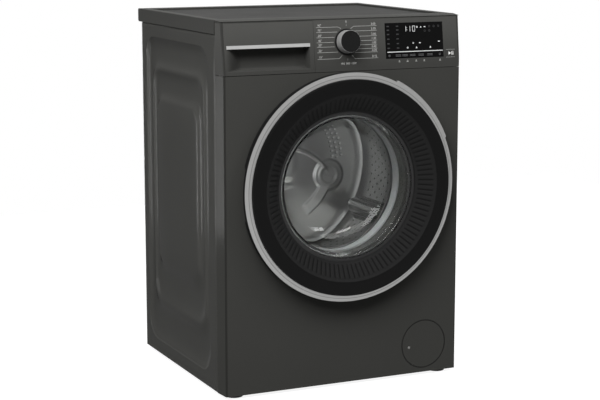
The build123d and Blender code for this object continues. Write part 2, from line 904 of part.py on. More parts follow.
# Start key with its retaining flange and stem
with BuildPart() as start_key:
    with BuildSketch(face_plane.offset(key_proud)):
        with Locations((key_x, key_up)):
            Rectangle(key_width, key_height)
    extrude(amount=-(key_proud + moulding + run_gap))
    with BuildSketch(face_plane.offset(-(moulding / cos(lean_angle) + run_gap))):
        with Locations((key_x, key_up)):
            Rectangle(key_width + 3 * key_flange, key_height + 3 * key_flange)
    extrude(amount=-key_flange)
    with BuildSketch(face_plane.offset(-(moulding + run_gap))):
        with Locations((key_x, key_up)):
            Circle(switch_size / 2)
    extrude(amount=-(key_stem_end - moulding - run_gap))
start_key.part.label = "start_key"
export_step(start_key.part, "parts/start_key.step")

# Worktop: a frame with a raised rim and a skirt, the sunken panel and the rear trim
trim_y = top_rear_y - rear_trim_length
rim_z = height - rim_drop
frame_front = strip_y + seam
panel_half = width / 2 - rim_width + board_tuck
panel_front = frame_front + rim_width - board_tuck
panel_rear = trim_y - board_tuck / 2
inner_front = frame_front + rim_width
inner_rear = top_rear_y - rear_trim_length - rim_rear + board_tuck
with BuildPart() as worktop_frame:
    with BuildSketch(Plane.XY.offset(rim_z)):
        with Locations((0, (frame_front + trim_y) / 2)):
            Rectangle(width, trim_y - frame_front)
        with Locations((0, (inner_front + inner_rear) / 2)):
            Rectangle(2 * (panel_half - board_tuck), inner_rear - inner_front, mode=Mode.SUBTRACT)
    extrude(amount=rim_drop)
    with BuildSketch(Plane.XY.offset(skirt_z + seam)):
        for side in (-1, 1):
            with Locations((side * (width - skirt_wall) / 2, (frame_front + trim_y) / 2)):
                Rectangle(skirt_wall, trim_y - frame_front)
    extrude(amount=height - skirt_z - seam)
    top_edges = worktop_frame.edges().filter_by(Axis.Y).group_by(Axis.Z)[-1].sort_by(Axis.X)
    chamfer([top_edges[0], top_edges[-1]], rim_drop / 3)
    with BuildSketch(Plane.XY.offset(skirt_z)):
        for side in (-1, 1):
            rail_x = side * (width / 2 - skirt_wall - rail_width / 2)
            with Locations((rail_x, (inner_front + inner_rear) / 2)):
                Rectangle(rail_width, inner_rear - inner_front)
    extrude(amount=rim_z - board_height - skirt_z)
    # Sloping front lip over the control panel
    with BuildSketch(Plane.XY.offset(fascia_top + seam / 2)):
        Polygon(*pan_corners(-side_inset, front_y + lip_front, frame_front), align=None)
    extrude(amount=height - fascia_top - seam / 2)
    with BuildSketch(Plane.YZ):
        Polygon(
            (front_y + lip_front - seam, fascia_top + 3 * seam / 2),
            (front_y + lip_front, fascia_top + 3 * seam / 2),
            (frame_front, height),
            (frame_front, height + seam),
            (front_y + lip_front - seam, height + seam),
            align=None,
        )
    extrude(amount=width, both=True, mode=Mode.SUBTRACT)
worktop_frame.part.label = "worktop_frame"
export_step(worktop_frame.part, "parts/worktop_frame.step")
with BuildPart() as worktop_panel:
    with BuildSketch(Plane.XY.offset(rim_z - seam)):
        with Locations((0, (panel_front + panel_rear) / 2)):
            Rectangle(2 * panel_half, panel_rear - panel_front)
    extrude(amount=seam - board_height)
    # The top stands clear of the rim all round
    with BuildSketch(Plane.XY.offset(rim_z - seam)):
        with Locations((0, (inner_front + inner_rear) / 2)):
            Rectangle(2 * (panel_half - board_tuck - seam), inner_rear - inner_front - 2 * seam)
    extrude(amount=seam)
worktop_panel.part.label = "worktop_panel"
export_step(worktop_panel.part, "parts/worktop_panel.step")
with BuildPart() as worktop_rear_trim:
    with BuildSketch(Plane.YZ):
        Polygon(
            (trim_y, skirt_z + seam),
            (top_rear_y - rim_drop, skirt_z + seam),
            (top_rear_y, skirt_z + seam + rim_drop),
            (top_rear_y, height - rim_drop),
            (top_rear_y - rim_drop, height),
            (trim_y, height),
            align=None,
        )
    extrude(amount=width / 2, both=True)
    with BuildSketch(Plane.YZ):
        with Locations(((trim_y + rear_y) / 2 - seam, (skirt_z + seam + height - skirt_wall) / 2 - seam)):
            Rectangle(rear_y - trim_y + 4 * seam, height - skirt_wall - skirt_z + seam)
    extrude(amount=width / 2 - skirt_wall, both=True, mode=Mode.SUBTRACT)
worktop_rear_trim.part.label = "worktop_rear_trim"
export_step(worktop_rear_trim.part, "parts/worktop_rear_trim.step")

# Dispenser housing, open to the front
housing_y0 = bay_y + moulding
housing_y1 = housing_y0 + housing_length
with BuildPart() as dispenser_housing:
    with BuildSketch(facing(housing_y0)):
        with Locations(((housing_x0 + housing_x1) / 2, (housing_z + housing_top) / 2)):
            Rectangle(housing_x1 - housing_x0, housing_top - housing_z)
    extrude(amount=-housing_length)
    with BuildSketch(facing(housing_y0)):
        with Locations(((housing_x0 + housing_x1) / 2, (housing_z + housing_top) / 2)):
            Rectangle(
                housing_x1 - housing_x0 - 2 * dispenser_wall, housing_top - housing_z - 2 * dispenser_wall
            )
    extrude(amount=-(housing_length - dispenser_wall), mode=Mode.SUBTRACT)
    # Duct from the inlet valve through the housing's rear wall
    with BuildSketch(facing(housing_y1)):
        with Locations((valve_x, valve_z)):
            Circle(fill_radius)
    extrude(amount=-(rear_y - sheet - valve_depth - housing_y1))
    with BuildSketch(facing(housing_y1 - dispenser_wall)):
        with Locations((valve_x, valve_z)):
            Circle(fill_bore)
    extrude(amount=-(rear_y - sheet - valve_depth - housing_y1 + dispenser_wall), mode=Mode.SUBTRACT)
dispenser_housing.part.label = "dispenser_housing"
export_step(dispenser_housing.part, "parts/dispenser_housing.step")

# Drawer tray: three open cells on the housing's floor
drawer_y = bay_y - run_gap
tray_x0 = housing_x0 + dispenser_wall + tray_side_gap
tray_x1 = housing_x1 - dispenser_wall - tray_side_gap
tray_low = housing_z + dispenser_wall
cell_split = (housing_x0 + cell_width[0], housing_x0 + cell_width[0] + cell_width[1])
cell_edges = [tray_x0 + dispenser_wall / 2, *cell_split, tray_x1 - dispenser_wall / 2]
with BuildPart() as drawer_tray:
    with BuildSketch(Plane.XY.offset(tray_low)):
        with Locations(((tray_x0 + tray_x1) / 2, drawer_y + tray_length / 2)):
            Rectangle(tray_x1 - tray_x0, tray_length)
    extrude(amount=tray_top - tray_low)
    with BuildSketch(Plane.XY.offset(tray_low + dispenser_wall)):
        for left, right in zip(cell_edges, cell_edges[1:]):
            with Locations(((left + right) / 2, drawer_y + tray_length / 2)):
                RectangleRounded(
                    right - left - dispenser_wall, tray_length - 2 * dispenser_wall, 2 * dispenser_wall
                )
    extrude(amount=tray_top - tray_low, mode=Mode.SUBTRACT)
drawer_tray.part.label = "drawer_tray"
export_step(drawer_tray.part, "parts/drawer_tray.step")

# Siphon cap over the rear of the softener cell
cap_skirt = 12.0
with BuildPart() as softener_cap:
    with BuildSketch(Plane.XY.offset(tray_top)):
        with Locations(
            ((cell_edges[2] + cell_edges[3]) / 2, drawer_y + tray_length - cap_length / 2)
        ):
            Rectangle(cell_edges[3] - cell_edges[2], cap_length)
    extrude(amount=dispenser_wall)
    with BuildSketch(Plane.XY.offset(tray_top)):
        with Locations(
            (
                (cell_edges[2] + cell_edges[3]) / 2,
                drawer_y + tray_length - dispenser_wall - cap_length / 2,
            )
        ):
            RectangleRounded(
                cell_edges[3] - cell_edges[2] - 2 * dispenser_wall,
                cap_length - 4 * dispenser_wall,
                dispenser_wall,
            )
    extrude(amount=-cap_skirt)
softener_cap.part.label = "softener_cap"
export_step(softener_cap.part, "parts/softener_cap.step")

# Drawer front: a leaning cover with the finger recess under the trim bar
cover_x0 = bay_x0 + seam / 2
cover_x1 = drawer_seam_x - seam / 2
cover_top = bay_top - seam / 2
recess_x0 = bar_x0
recess_x1 = bar_x1
recess_profile = [
    (face_y(recess_z0) - 2 * seam, recess_z0),
    (face_y(bar_z0) - 2 * seam, bar_z0),
    (face_y(bar_z0) + recess_depth, bar_z0),
    (face_y(bar_z0) + recess_depth - recess_lip, (recess_z0 + 2 * bar_z0) / 3),
    (face_y(recess_z0) + recess_lip, recess_z0 + seam),
]
with BuildPart() as drawer_front:
    with BuildSketch(Plane.YZ.offset(cover_x0)):
        Polygon(
            (face_y(fascia_low), fascia_low),
            (face_y(cover_top), cover_top),
            (drawer_y, cover_top),
            (drawer_y, fascia_low),
            align=None,
        )
    extrude(amount=cover_x1 - cover_x0)
    with BuildSketch(Plane.YZ.offset(cover_x0 + moulding)):
        Polygon(
            (face_y(fascia_low + moulding) + moulding, fascia_low + moulding),
            (face_y(cover_top - moulding) + moulding, cover_top - moulding),
            (drawer_y + seam, cover_top - moulding),
            (drawer_y + seam, fascia_low + moulding),
            align=None,
        )
    extrude(amount=cover_x1 - cover_x0 - 2 * moulding, mode=Mode.SUBTRACT)
    with BuildSketch(Plane.YZ.offset(cover_x0)):
        Polygon(
            (face_y(recess_z0 - moulding), recess_z0 - moulding),
            (face_y(bar_z1 + moulding), bar_z1 + moulding),
            (drawer_y, bar_z1 + moulding),
            (drawer_y, recess_z0 - moulding),
            align=None,
        )
    extrude(amount=cover_x1 - cover_x0)
    with BuildSketch(Plane.YZ.offset(recess_x0)):
        Polygon(*recess_profile, align=None)
    extrude(amount=recess_x1 - recess_x0, mode=Mode.SUBTRACT)
    with BuildSketch(face_plane):
        with Locations(((bar_x0 + bar_x1) / 2, up_face((bar_z0 + bar_z1) / 2))):
            Rectangle(bar_x1 - bar_x0, bar_z1 - bar_z0)
    extrude(amount=-bar_seat, mode=Mode.SUBTRACT)
drawer_front.part.label = "drawer_front"
export_step(drawer_front.part, "parts/drawer_front.step")
with BuildPart() as drawer_trim_bar:
    with BuildSketch(face_plane.offset(-bar_seat)):
        with Locations(((bar_x0 + bar_x1) / 2, up_face((bar_z0 + bar_z1) / 2))):
            Rectangle(bar_x1 - bar_x0, bar_z1 - bar_z0)
    extrude(amount=bar_seat + bar_proud)
drawer_trim_bar.part.label = "drawer_trim_bar"
export_step(drawer_trim_bar.part, "parts/drawer_trim_bar.step")

# Door ring: two sloping facets round the door, and the raised grip at the upper right
grip_plane = Plane(
    origin=(0, 0, axis_z),
    x_dir=(cos(radians(grip_start)), 0, sin(radians(grip_start))),
    z_dir=(-sin(radians(grip_start)), 0, cos(radians(grip_start))),
)
upward_turn = Axis((0, 0, axis_z), (0, -1, 0))
with BuildPart() as door_ring:
    with BuildSketch(axle_plane):
        Polygon(
            (ring_radius, front_y - ring_back),
            (ring_radius, front_y - ring_back - ring_wall / 2),
            (ring_crease_radius, front_y - ring_crease),
            (ring_inner_radius, front_y - ring_front),
            (ring_inner_radius, front_y - ring_front + ring_wall),
            (ring_crease_radius - ring_wall / 2, front_y - ring_crease + ring_wall),
            (ring_radius - ring_wall - seam, front_y - ring_back),
            align=None,
        )
    revolve(axis=axle)
    with BuildSketch(grip_plane):
        Polygon(
            (ring_radius - ring_wall, front_y - ring_back),
            (ring_radius + grip_rise, front_y - ring_back),
            (ring_radius + grip_rise, front_y - ring_back - ring_wall),
            (ring_crease_radius + grip_rise / 2, front_y - ring_crease - grip_wall),
            (ring_crease_radius, front_y - ring_crease),
            (ring_crease_radius - ring_wall / 2, front_y - ring_crease + ring_wall),
            align=None,
        )
    revolve(axis=upward_turn, revolution_arc=grip_end - grip_start)
door_ring.part.label = "door_ring"
export_step(door_ring.part, "parts/door_ring.step")

# Bezel: the flat black ring and the funnel down to the glass
with BuildPart() as door_bezel:
    with BuildSketch(axle_plane):
        Polygon(
            (glass_edge_radius, front_y - glass_edge_y),
            (bezel_flat_radius - bezel_wall / 2, front_y - door_proud + bezel_wall / 2),
            (bezel_flat_radius + bezel_wall / 2, front_y - door_proud),
            (ring_inner_radius - bezel_wall, front_y - door_proud),
            (ring_inner_radius - run_gap, front_y - door_proud + bezel_wall / 2),
            (ring_inner_radius - run_gap, front_y - ring_front),
            (ring_inner_radius - run_gap - bezel_wall, front_y - ring_front),
            (ring_inner_radius - run_gap - bezel_wall, front_y - door_proud + bezel_wall),
            (bezel_flat_radius + bezel_wall, front_y - door_proud + bezel_wall),
            (glass_edge_radius + 2 * bezel_wall, front_y - glass_edge_y + bezel_wall / 3),
            (glass_edge_radius + 2 * bezel_wall, front_y - glass_edge_y + glass_wall),
            (glass_edge_radius, front_y - glass_edge_y + glass_wall),
            align=None,
        )
    revolve(axis=axle)
door_bezel.part.label = "door_bezel"
export_step(door_bezel.part, "parts/door_bezel.step")

# Glass bowl: a flange between bezel and inner frame, and the dished bowl behind it
flange_front = front_y - glass_edge_y + glass_wall
flange_back = flange_front + glass_wall
with BuildPart() as door_glass:
    with BuildSketch(axle_plane):
        with BuildLine():
            outer_curve = Spline(
                [(bowl_radius * out, front_y + bowl_depth * deep) for out, deep in bowl_shape],
                tangents=(bowl_rim_tangent, (-1, 0)),
            )
            inner_curve = Spline(
                [
                    ((bowl_radius - glass_wall) * out, front_y + (bowl_depth - glass_wall) * deep)
                    for out, deep in reversed(bowl_shape)
                ],
                tangents=((1, 0), (-bowl_rim_tangent[0], -bowl_rim_tangent[1])),
            )
            Line(outer_curve @ 1, inner_curve @ 0)
            Polyline(
                inner_curve @ 1,
                (bowl_radius + glass_wall / 2, flange_front),
                (glass_flange_radius, flange_front),
                (glass_flange_radius, flange_back),
                (bowl_radius + glass_wall, flange_back),
                outer_curve @ 0,
            )
        make_face()
    revolve(axis=axle)
door_glass.part.label = "door_glass"
export_step(door_glass.part, "parts/door_glass.step")

# Inner frame: back plate, side wall, posts to the bezel, hinge notch and latch ears
plate_front = flange_back
plate_back = front_y - frame_back
post_top = front_y - door_proud + bezel_wall
notch_half = knuckle_half + ear_gap + ear_height + hinge_notch_gap
latch_ear = 4.0
with BuildPart() as door_inner_frame:
    with BuildSketch(axle_plane):
        Polygon(
            (frame_hole_radius, plate_front),
            (frame_hole_radius, plate_back),
            (frame_radius, plate_back),
            (frame_radius, front_y - ring_back + frame_wall),
            (frame_lip_radius, front_y - ring_back + frame_wall),
            (frame_lip_radius, front_y - ring_back),
            (frame_radius - frame_wall, front_y - ring_back),
            (frame_radius - frame_wall, plate_front),
            align=None,
        )
    revolve(axis=axle)
    with BuildSketch(facing(plate_front)):
        with Locations((0, axis_z)):
            with PolarLocations(post_circle, post_count, start_angle=180 / post_count):
                Circle(post_radius)
    extrude(amount=plate_front - post_top)
    with BuildSketch(facing(plate_front)):
        ear_offset = latch_half + run_gap + latch_ear / 2
        with Locations((latch_x, axis_z + ear_offset), (latch_x, axis_z - ear_offset)):
            Rectangle(3 * latch_shank, latch_ear)
    extrude(amount=latch_y + latch_shank - (front_y - plate_front))
    with BuildSketch(Plane.XY.offset(axis_z - latch_half - latch_ear - 2 * run_gap)):
        with Locations((latch_x, front_y - latch_y)):
            Circle(latch_pin_radius + shaft_clearance)
    extrude(amount=2 * (latch_half + latch_ear + 2 * run_gap), mode=Mode.SUBTRACT)
    with BuildSketch(facing(plate_back + seam)):
        with Locations((latch_x, axis_z)):
            Rectangle(latch_shank + latch_swing, 2 * latch_half + 2 * run_gap)
    extrude(amount=plate_back - plate_front + 2 * seam, mode=Mode.SUBTRACT)
    with BuildSketch(facing(plate_back + seam)):
        with Locations(((hinge_notch_x - ring_radius - seam) / 2, axis_z)):
            Rectangle(ring_radius + hinge_notch_x + seam, 2 * notch_half)
    extrude(amount=ring_back - frame_back + 2 * seam, mode=Mode.SUBTRACT)
door_inner_frame.part.label = "door_inner_frame"
export_step(door_inner_frame.part, "parts/door_inner_frame.step")

# Door side of the hinge: a knuckle on a web that is fixed to the back plate
web = 4.0
web_end = hinge_notch_x + hinge_arm_foot
with BuildPart() as door_hinge_arm:
    with BuildSketch(Plane.XY.offset(axis_z - knuckle_half)):
        with Locations((hinge_x, front_y - hinge_y)):
            Circle(knuckle_radius)
        with Locations(((hinge_x + web_end) / 2, front_y - hinge_y)):
            Rectangle(web_end - hinge_x, web)
        with Locations(((hinge_notch_x + seam + web_end) / 2, (front_y - hinge_y + plate_front) / 2)):
            Rectangle(web_end - hinge_notch_x - seam, plate_front - front_y + hinge_y)
        with Locations((hinge_x, front_y - hinge_y)):
            Circle(hinge_pin_radius + shaft_clearance, mode=Mode.SUBTRACT)
    extrude(amount=2 * knuckle_half)
door_hinge_arm.part.label = "door_hinge_arm"
export_step(door_hinge_arm.part, "parts/door_hinge_arm.step")

# Cabinet side of the hinge: a plate on the front panel with two cranked ears and the riveted pin
ear_low = knuckle_half + ear_gap
plate_half = ear_low + ear_height
with BuildPart() as hinge_bracket:
    with BuildSketch(facing(front_y)):
        with Locations(((hinge_foot_x - hinge_foot_width + hinge_screw_x + hinge_plate_edge) / 2, axis_z)):
            Rectangle(hinge_screw_x + hinge_plate_edge - hinge_foot_x + hinge_foot_width, 2 * plate_half)
        with Locations(*hinge_screw_places):
            Circle(screw_radius, mode=Mode.SUBTRACT)
    extrude(amount=hinge_plate)
    for ear_z in (axis_z + ear_low, axis_z - ear_low - ear_height):
        with BuildSketch(Plane.XY.offset(ear_z)):
            with Locations((hinge_x, front_y - hinge_y)):
                Circle(knuckle_radius)
            with Locations(((hinge_x + hinge_foot_x) / 2, front_y - hinge_y)):
                Rectangle(hinge_foot_x - hinge_x, 2 * knuckle_radius)
            with Locations((hinge_foot_x - hinge_foot_width / 2, front_y - (hinge_y + knuckle_radius) / 2)):
                Rectangle(hinge_foot_width, hinge_y + knuckle_radius)
        extrude(amount=ear_height)
    with BuildSketch(Plane.XY.offset(axis_z - plate_half)):
        with Locations((hinge_x, front_y - hinge_y)):
            Circle(hinge_pin_radius)
    extrude(amount=2 * plate_half)
hinge_bracket.part.label = "hinge_bracket"
export_step(hinge_bracket.part, "parts/hinge_bracket.step")

# Latch hook on its own pivot pin
with BuildPart() as latch_hook:
    with BuildSketch(Plane.XY.offset(axis_z - latch_half)):
        with Locations((latch_x, front_y + (latch_reach - latch_y) / 2)):
            Rectangle(latch_shank, latch_reach + latch_y)
        with Locations((latch_x, front_y - latch_y)):
            Circle(latch_shank / 2)
        Polygon(
            (latch_x, front_y + latch_reach),
            (latch_x + latch_shank / 2 + latch_barb, front_y + latch_reach - latch_barb),
            (latch_x, front_y + latch_reach - latch_barb),
            align=None,
        )
    extrude(amount=2 * latch_half)
    with BuildSketch(Plane.XY.offset(axis_z - latch_half - latch_ear)):
        with Locations((latch_x, front_y - latch_y)):
            Circle(latch_pin_radius)
    extrude(amount=2 * (latch_half + latch_ear))
latch_hook.part.label = "latch_hook"
export_step(latch_hook.part, "parts/latch_hook.step")

# Door lock behind the front panel, with the pocket that takes the hook
lock_wall = 6.0
lock_half_x = latch_shank + latch_barb + lock_wall
with BuildPart() as door_lock:
    with BuildSketch(facing(front_y + sheet)):
        with Locations((latch_x + latch_barb / 2, axis_z)):
            Rectangle(2 * lock_half_x, 6 * lock_wall + 4 * latch_half)
    extrude(amount=-lock_depth)
    with BuildSketch(facing(front_y + sheet)):
        with Locations((latch_x + latch_barb / 2, axis_z)):
            Rectangle(2 * (lock_half_x - lock_wall / 2), 4 * latch_half)
    extrude(amount=-(lock_depth - lock_wall), mode=Mode.SUBTRACT)
door_lock.part.label = "door_lock"
export_step(door_lock.part, "parts/door_lock.step")

# Door gasket: a rubber bellows from the collar to the tub's mouth, with a sealing lip
gasket_wall = 3.4
gasket_bulge = 8.0
gasket_outer = opening_radius - run_gap
mouth_outer = mouth_radius + mouth_wall
mouth_front_y = tub_front_y - mouth_length
gasket_rear_y = tub_front_y - mouth_wall
bulge_y0 = front_y + collar_depth + gasket_wall * 2
bulge_y1 = mouth_front_y - gasket_wall * 4
with BuildPart() as door_gasket:
    with BuildSketch(axle_plane):
        Polygon(
            (gasket_outer, front_y + sheet),
            (gasket_outer, front_y + collar_depth + seam),
            (gasket_outer + gasket_bulge, bulge_y0),
            (gasket_outer + gasket_bulge, bulge_y1),
            (mouth_outer + run_gap + gasket_wall, mouth_front_y),
            (mouth_outer + run_gap + gasket_wall, gasket_rear_y),
            (mouth_outer + run_gap, gasket_rear_y),
            (mouth_outer + run_gap, mouth_front_y - gasket_wall / 2),
            (gasket_outer + gasket_bulge - gasket_wall, bulge_y1 - gasket_wall / 2),
            (gasket_outer + gasket_bulge - gasket_wall, bulge_y0 + gasket_wall / 2),
            (gasket_outer - gasket_wall, front_y + collar_depth),
            (bowl_radius + gasket_wall / 2, front_y + collar_depth - gasket_wall),
            (bowl_radius + gasket_wall / 2, front_y + collar_depth - 2 * gasket_wall),
            (gasket_outer - gasket_wall, front_y + collar_depth - gasket_wall * 1.2),
            (gasket_outer - gasket_wall, front_y + sheet),
            align=None,
        )
    revolve(axis=axle)
door_gasket.part.label = "door_gasket"
export_step(door_gasket.part, "parts/door_gasket.step")

# Front half of the tub with its mouth, flange and sump outlet
sump_place = (sump_x, front_y + sump_y)
flange_y0 = tub_split_y - tub_flange
with BuildPart() as tub_front:
    with BuildSketch(axle_plane):
        Polygon(
            (0, tub_front_y),
            (tub_outer, tub_front_y),
            (tub_outer, flange_y0),
            (tub_flange_radius, flange_y0),
            (tub_flange_radius, tub_split_y),
            (0, tub_split_y),
            align=None,
        )
    revolve(axis=axle)
    with BuildSketch(Plane.XY.offset(sump_high_z)):
        with Locations(sump_place):
            Circle(sump_radius)
    extrude(amount=axis_z - sump_high_z)
    with BuildSketch(facing(tub_front_y)):
        with Locations((0, axis_z)):
            Circle(mouth_outer)
    extrude(amount=mouth_length)
    with BuildSketch(facing(tub_split_y)):
        with Locations((0, axis_z)):
            Circle(tub_inner)
    extrude(amount=tub_split_y - tub_front_y - tub_shell, mode=Mode.SUBTRACT)
    with BuildSketch(facing(tub_split_y)):
        with Locations((0, axis_z)):
            Circle(mouth_radius)
    extrude(amount=tub_split_y - tub_front_y + mouth_length, mode=Mode.SUBTRACT)
    with BuildSketch(Plane.XY.offset(sump_high_z)):
        with Locations(sump_place):
            Circle(sump_bore)
    extrude(amount=axis_z - sump_high_z, mode=Mode.SUBTRACT)
tub_front.part.label = "tub_front"
export_step(tub_front.part, "parts/tub_front.step")

# Rear half of the tub with the bearing hub, ribs and suspension lugs
rib_count = 6
rib_width = 8.0
rib_depth = 18.0
heater_z = axis_z - heater_drop
spring_places = [(-spring_x, spring_y), (spring_x, spring_y)]
damper_places = [(-damper_x, damper_y), (damper_x, damper_y)]
eye_top_z = damper_eye_z + damper_eye_height
with BuildPart() as tub_rear:
    with BuildSketch(axle_plane):
        Polygon(
            (0, tub_split_y),
            (tub_flange_radius, tub_split_y),
            (tub_flange_radius, tub_split_y + tub_flange),
            (tub_outer, tub_split_y + tub_flange),
            (tub_outer, tub_rear_y),
            (0, tub_rear_y),
            align=None,
        )
    revolve(axis=axle)
    with BuildSketch(facing(tub_rear_y)):
        with Locations((0, axis_z)):
            with PolarLocations(tub_outer / 2, rib_count):
                Rectangle(tub_outer - 4 * rib_width, rib_width)
    extrude(amount=-rib_depth)
    with BuildSketch(Plane.XY.offset(axis_z)):
        with Locations(*spring_places):
            Rectangle(lug_width, lug_width)
    extrude(amount=spring_low_z - axis_z)
    with BuildSketch(Plane.XY.offset(eye_top_z)):
        with Locations(*damper_places):
            Rectangle(lug_width, lug_width)
    extrude(amount=axis_z - eye_top_z)
    with BuildSketch(facing(tub_split_y)):
        with Locations((0, axis_z)):
            Circle(tub_inner)
    extrude(amount=-(tub_rear_y - tub_split_y - tub_shell), mode=Mode.SUBTRACT)
    with BuildSketch(facing(hub_front_y)):
        with Locations((0, axis_z)):
            Circle(hub_radius)
    extrude(amount=-(hub_rear_y - hub_front_y))
    with BuildSketch(axle_plane):
        Polygon(
            (0, hub_front_y - seam),
            (bearing_radius, hub_front_y - seam),
            (bearing_radius, bearing_front_y + bearing_width),
            (hub_shoulder_radius, bearing_front_y + bearing_width),
            (hub_shoulder_radius, rear_bearing_y),
            (rear_bearing_radius, rear_bearing_y),
            (rear_bearing_radius, hub_rear_y + seam),
            (0, hub_rear_y + seam),
            align=None,
        )
    revolve(axis=axle, mode=Mode.SUBTRACT)
    with BuildSketch(facing(tub_rear_y + rib_depth)):
        with Locations((0, heater_z)):
            Rectangle(2 * heater_half + 4 * heater_rod_radius, 2.4 * heater_rod_radius)
    extrude(amount=rib_depth + 2 * tub_shell, mode=Mode.SUBTRACT)
tub_rear.part.label = "tub_rear"
export_step(tub_rear.part, "parts/tub_rear.step")

# Counterweights: two half rings on the tub's front wall
with BuildPart() as counterweights:
    with BuildSketch(facing(tub_front_y)):
        with Locations((0, axis_z)):
            Circle(weight_outer)
            Circle(weight_inner, mode=Mode.SUBTRACT)
            Rectangle(2 * weight_outer, weight_gap, mode=Mode.SUBTRACT)
    extrude(amount=weight_thickness)
counterweights.part.label = "counterweights"
export_step(counterweights.part, "parts/counterweights.step")

# The two drum bearings
with BuildPart() as drum_bearings:
    with BuildSketch(facing(bearing_front_y)):
        with Locations((0, axis_z)):
            Circle(bearing_radius)
            Circle(shaft_radius + shaft_clearance, mode=Mode.SUBTRACT)
    extrude(amount=-bearing_width)
    with BuildSketch(facing(rear_bearing_y)):
        with Locations((0, axis_z)):
            Circle(rear_bearing_radius)
            Circle(shaft_radius + shaft_clearance, mode=Mode.SUBTRACT)
    extrude(amount=-rear_bearing_width)
drum_bearings.part.label = "drum_bearings"
export_step(drum_bearings.part, "parts/drum_bearings.step")

# Heater: a bent rod low in the tub, on a plate at its rear wall
with BuildPart() as heater:
    with BuildLine() as heater_path:
        FilletPolyline(
            (-heater_half, tub_rear_y, heater_z),
            (-heater_half, heater_front_y, heater_z),
            (heater_half, heater_front_y, heater_z),
            (heater_half, tub_rear_y, heater_z),
            radius=heater_bend,
        )
    with BuildSketch(Plane(origin=(-heater_half, tub_rear_y, heater_z), z_dir=(0, -1, 0))):
        Circle(heater_rod_radius)
    sweep(path=heater_path.line)
    with BuildSketch(facing(tub_rear_y)):
        with Locations((0, heater_z)):
            RectangleRounded(
                2 * heater_half + 8 * heater_rod_radius, 4.4 * heater_rod_radius, heater_rod_radius
            )
    extrude(amount=-heater_plate)
heater.part.label = "heater"
export_step(heater.part, "parts/heater.step")

# Motor body: a cup with a lug on the tub, open at its rear for the shaft and for air
motor_place = (motor_x, motor_z)
motor_end = motor_y + motor_length
cavity_y = motor_y + motor_wall
cavity_end = motor_end - motor_wall
lug_plane = Plane(
    origin=(motor_x, motor_y, motor_z),
    x_dir=(cos(radians(motor_angle)), 0, sin(radians(motor_angle))),
    z_dir=(0, -1, 0),
)
with BuildPart() as motor_stator:
    with BuildSketch(lug_plane):
        with Locations((0, motor_reach / 2)):
            Rectangle(motor_lug_width, motor_reach)
    extrude(amount=-(tub_rear_y - motor_y))
    with BuildSketch(facing(motor_y)):
        with Locations((0, axis_z)):
            Circle(tub_outer)
    extrude(amount=-motor_length, mode=Mode.SUBTRACT)
    with BuildSketch(facing(motor_y)):
        with Locations(motor_place):
            Circle(motor_radius)
    extrude(amount=-motor_length)
    with BuildSketch(facing(cavity_y)):
        with Locations(motor_place):
            Circle(rotor_radius + rotor_gap)
    extrude(amount=-(cavity_end - cavity_y), mode=Mode.SUBTRACT)
    with BuildSketch(facing(motor_y + motor_wall / 2)):
        with Locations(motor_place):
            Circle(motor_shaft_radius + shaft_clearance)
    extrude(amount=-motor_length, mode=Mode.SUBTRACT)
    with BuildSketch(facing(cavity_end)):
        with Locations(motor_place):
            with PolarLocations(vent_circle, vent_count):
                Circle(vent_radius)
    extrude(amount=-motor_wall, mode=Mode.SUBTRACT)
motor_stator.part.label = "motor_stator"
export_step(motor_stator.part, "parts/motor_stator.step")

# Rotor, shaft and small pulley in one turning piece
pulley_end = pulley_y + pulley_width
with BuildPart() as motor_rotor:
    with BuildSketch(facing(cavity_y + rotor_gap)):
        with Locations(motor_place):
            Circle(rotor_radius)
    extrude(amount=-(cavity_end - cavity_y - 2 * rotor_gap))
    with BuildSketch(facing(motor_y + motor_wall / 2 + rotor_gap)):
        with Locations(motor_place):
            Circle(motor_shaft_radius)
    extrude(amount=-(pulley_end - motor_y - motor_wall / 2 - rotor_gap))
    with BuildSketch(facing(pulley_y)):
        with Locations(motor_place):
            Circle(motor_pulley_radius)
    extrude(amount=-pulley_width)
motor_rotor.part.label = "motor_rotor"
export_step(motor_rotor.part, "parts/motor_rotor.step")

# Drive belt round the two pulleys
belt_y = pulley_y + (pulley_width - belt_width) / 2
with BuildPart() as drive_belt:
    with BuildSketch(facing(belt_y)):
        with Locations((0, axis_z)):
            Circle(pulley_radius + belt_gap + belt_thickness)
        with Locations(motor_place):
            Circle(motor_pulley_radius + belt_gap + belt_thickness)
        make_hull()
    extrude(amount=-belt_width)
    with BuildSketch(facing(belt_y)):
        with Locations((0, axis_z)):
            Circle(pulley_radius + belt_gap)
        with Locations(motor_place):
            Circle(motor_pulley_radius + belt_gap)
        make_hull()
    extrude(amount=-belt_width, mode=Mode.SUBTRACT)
drive_belt.part.label = "drive_belt"
export_step(drive_belt.part, "parts/drive_belt.step")

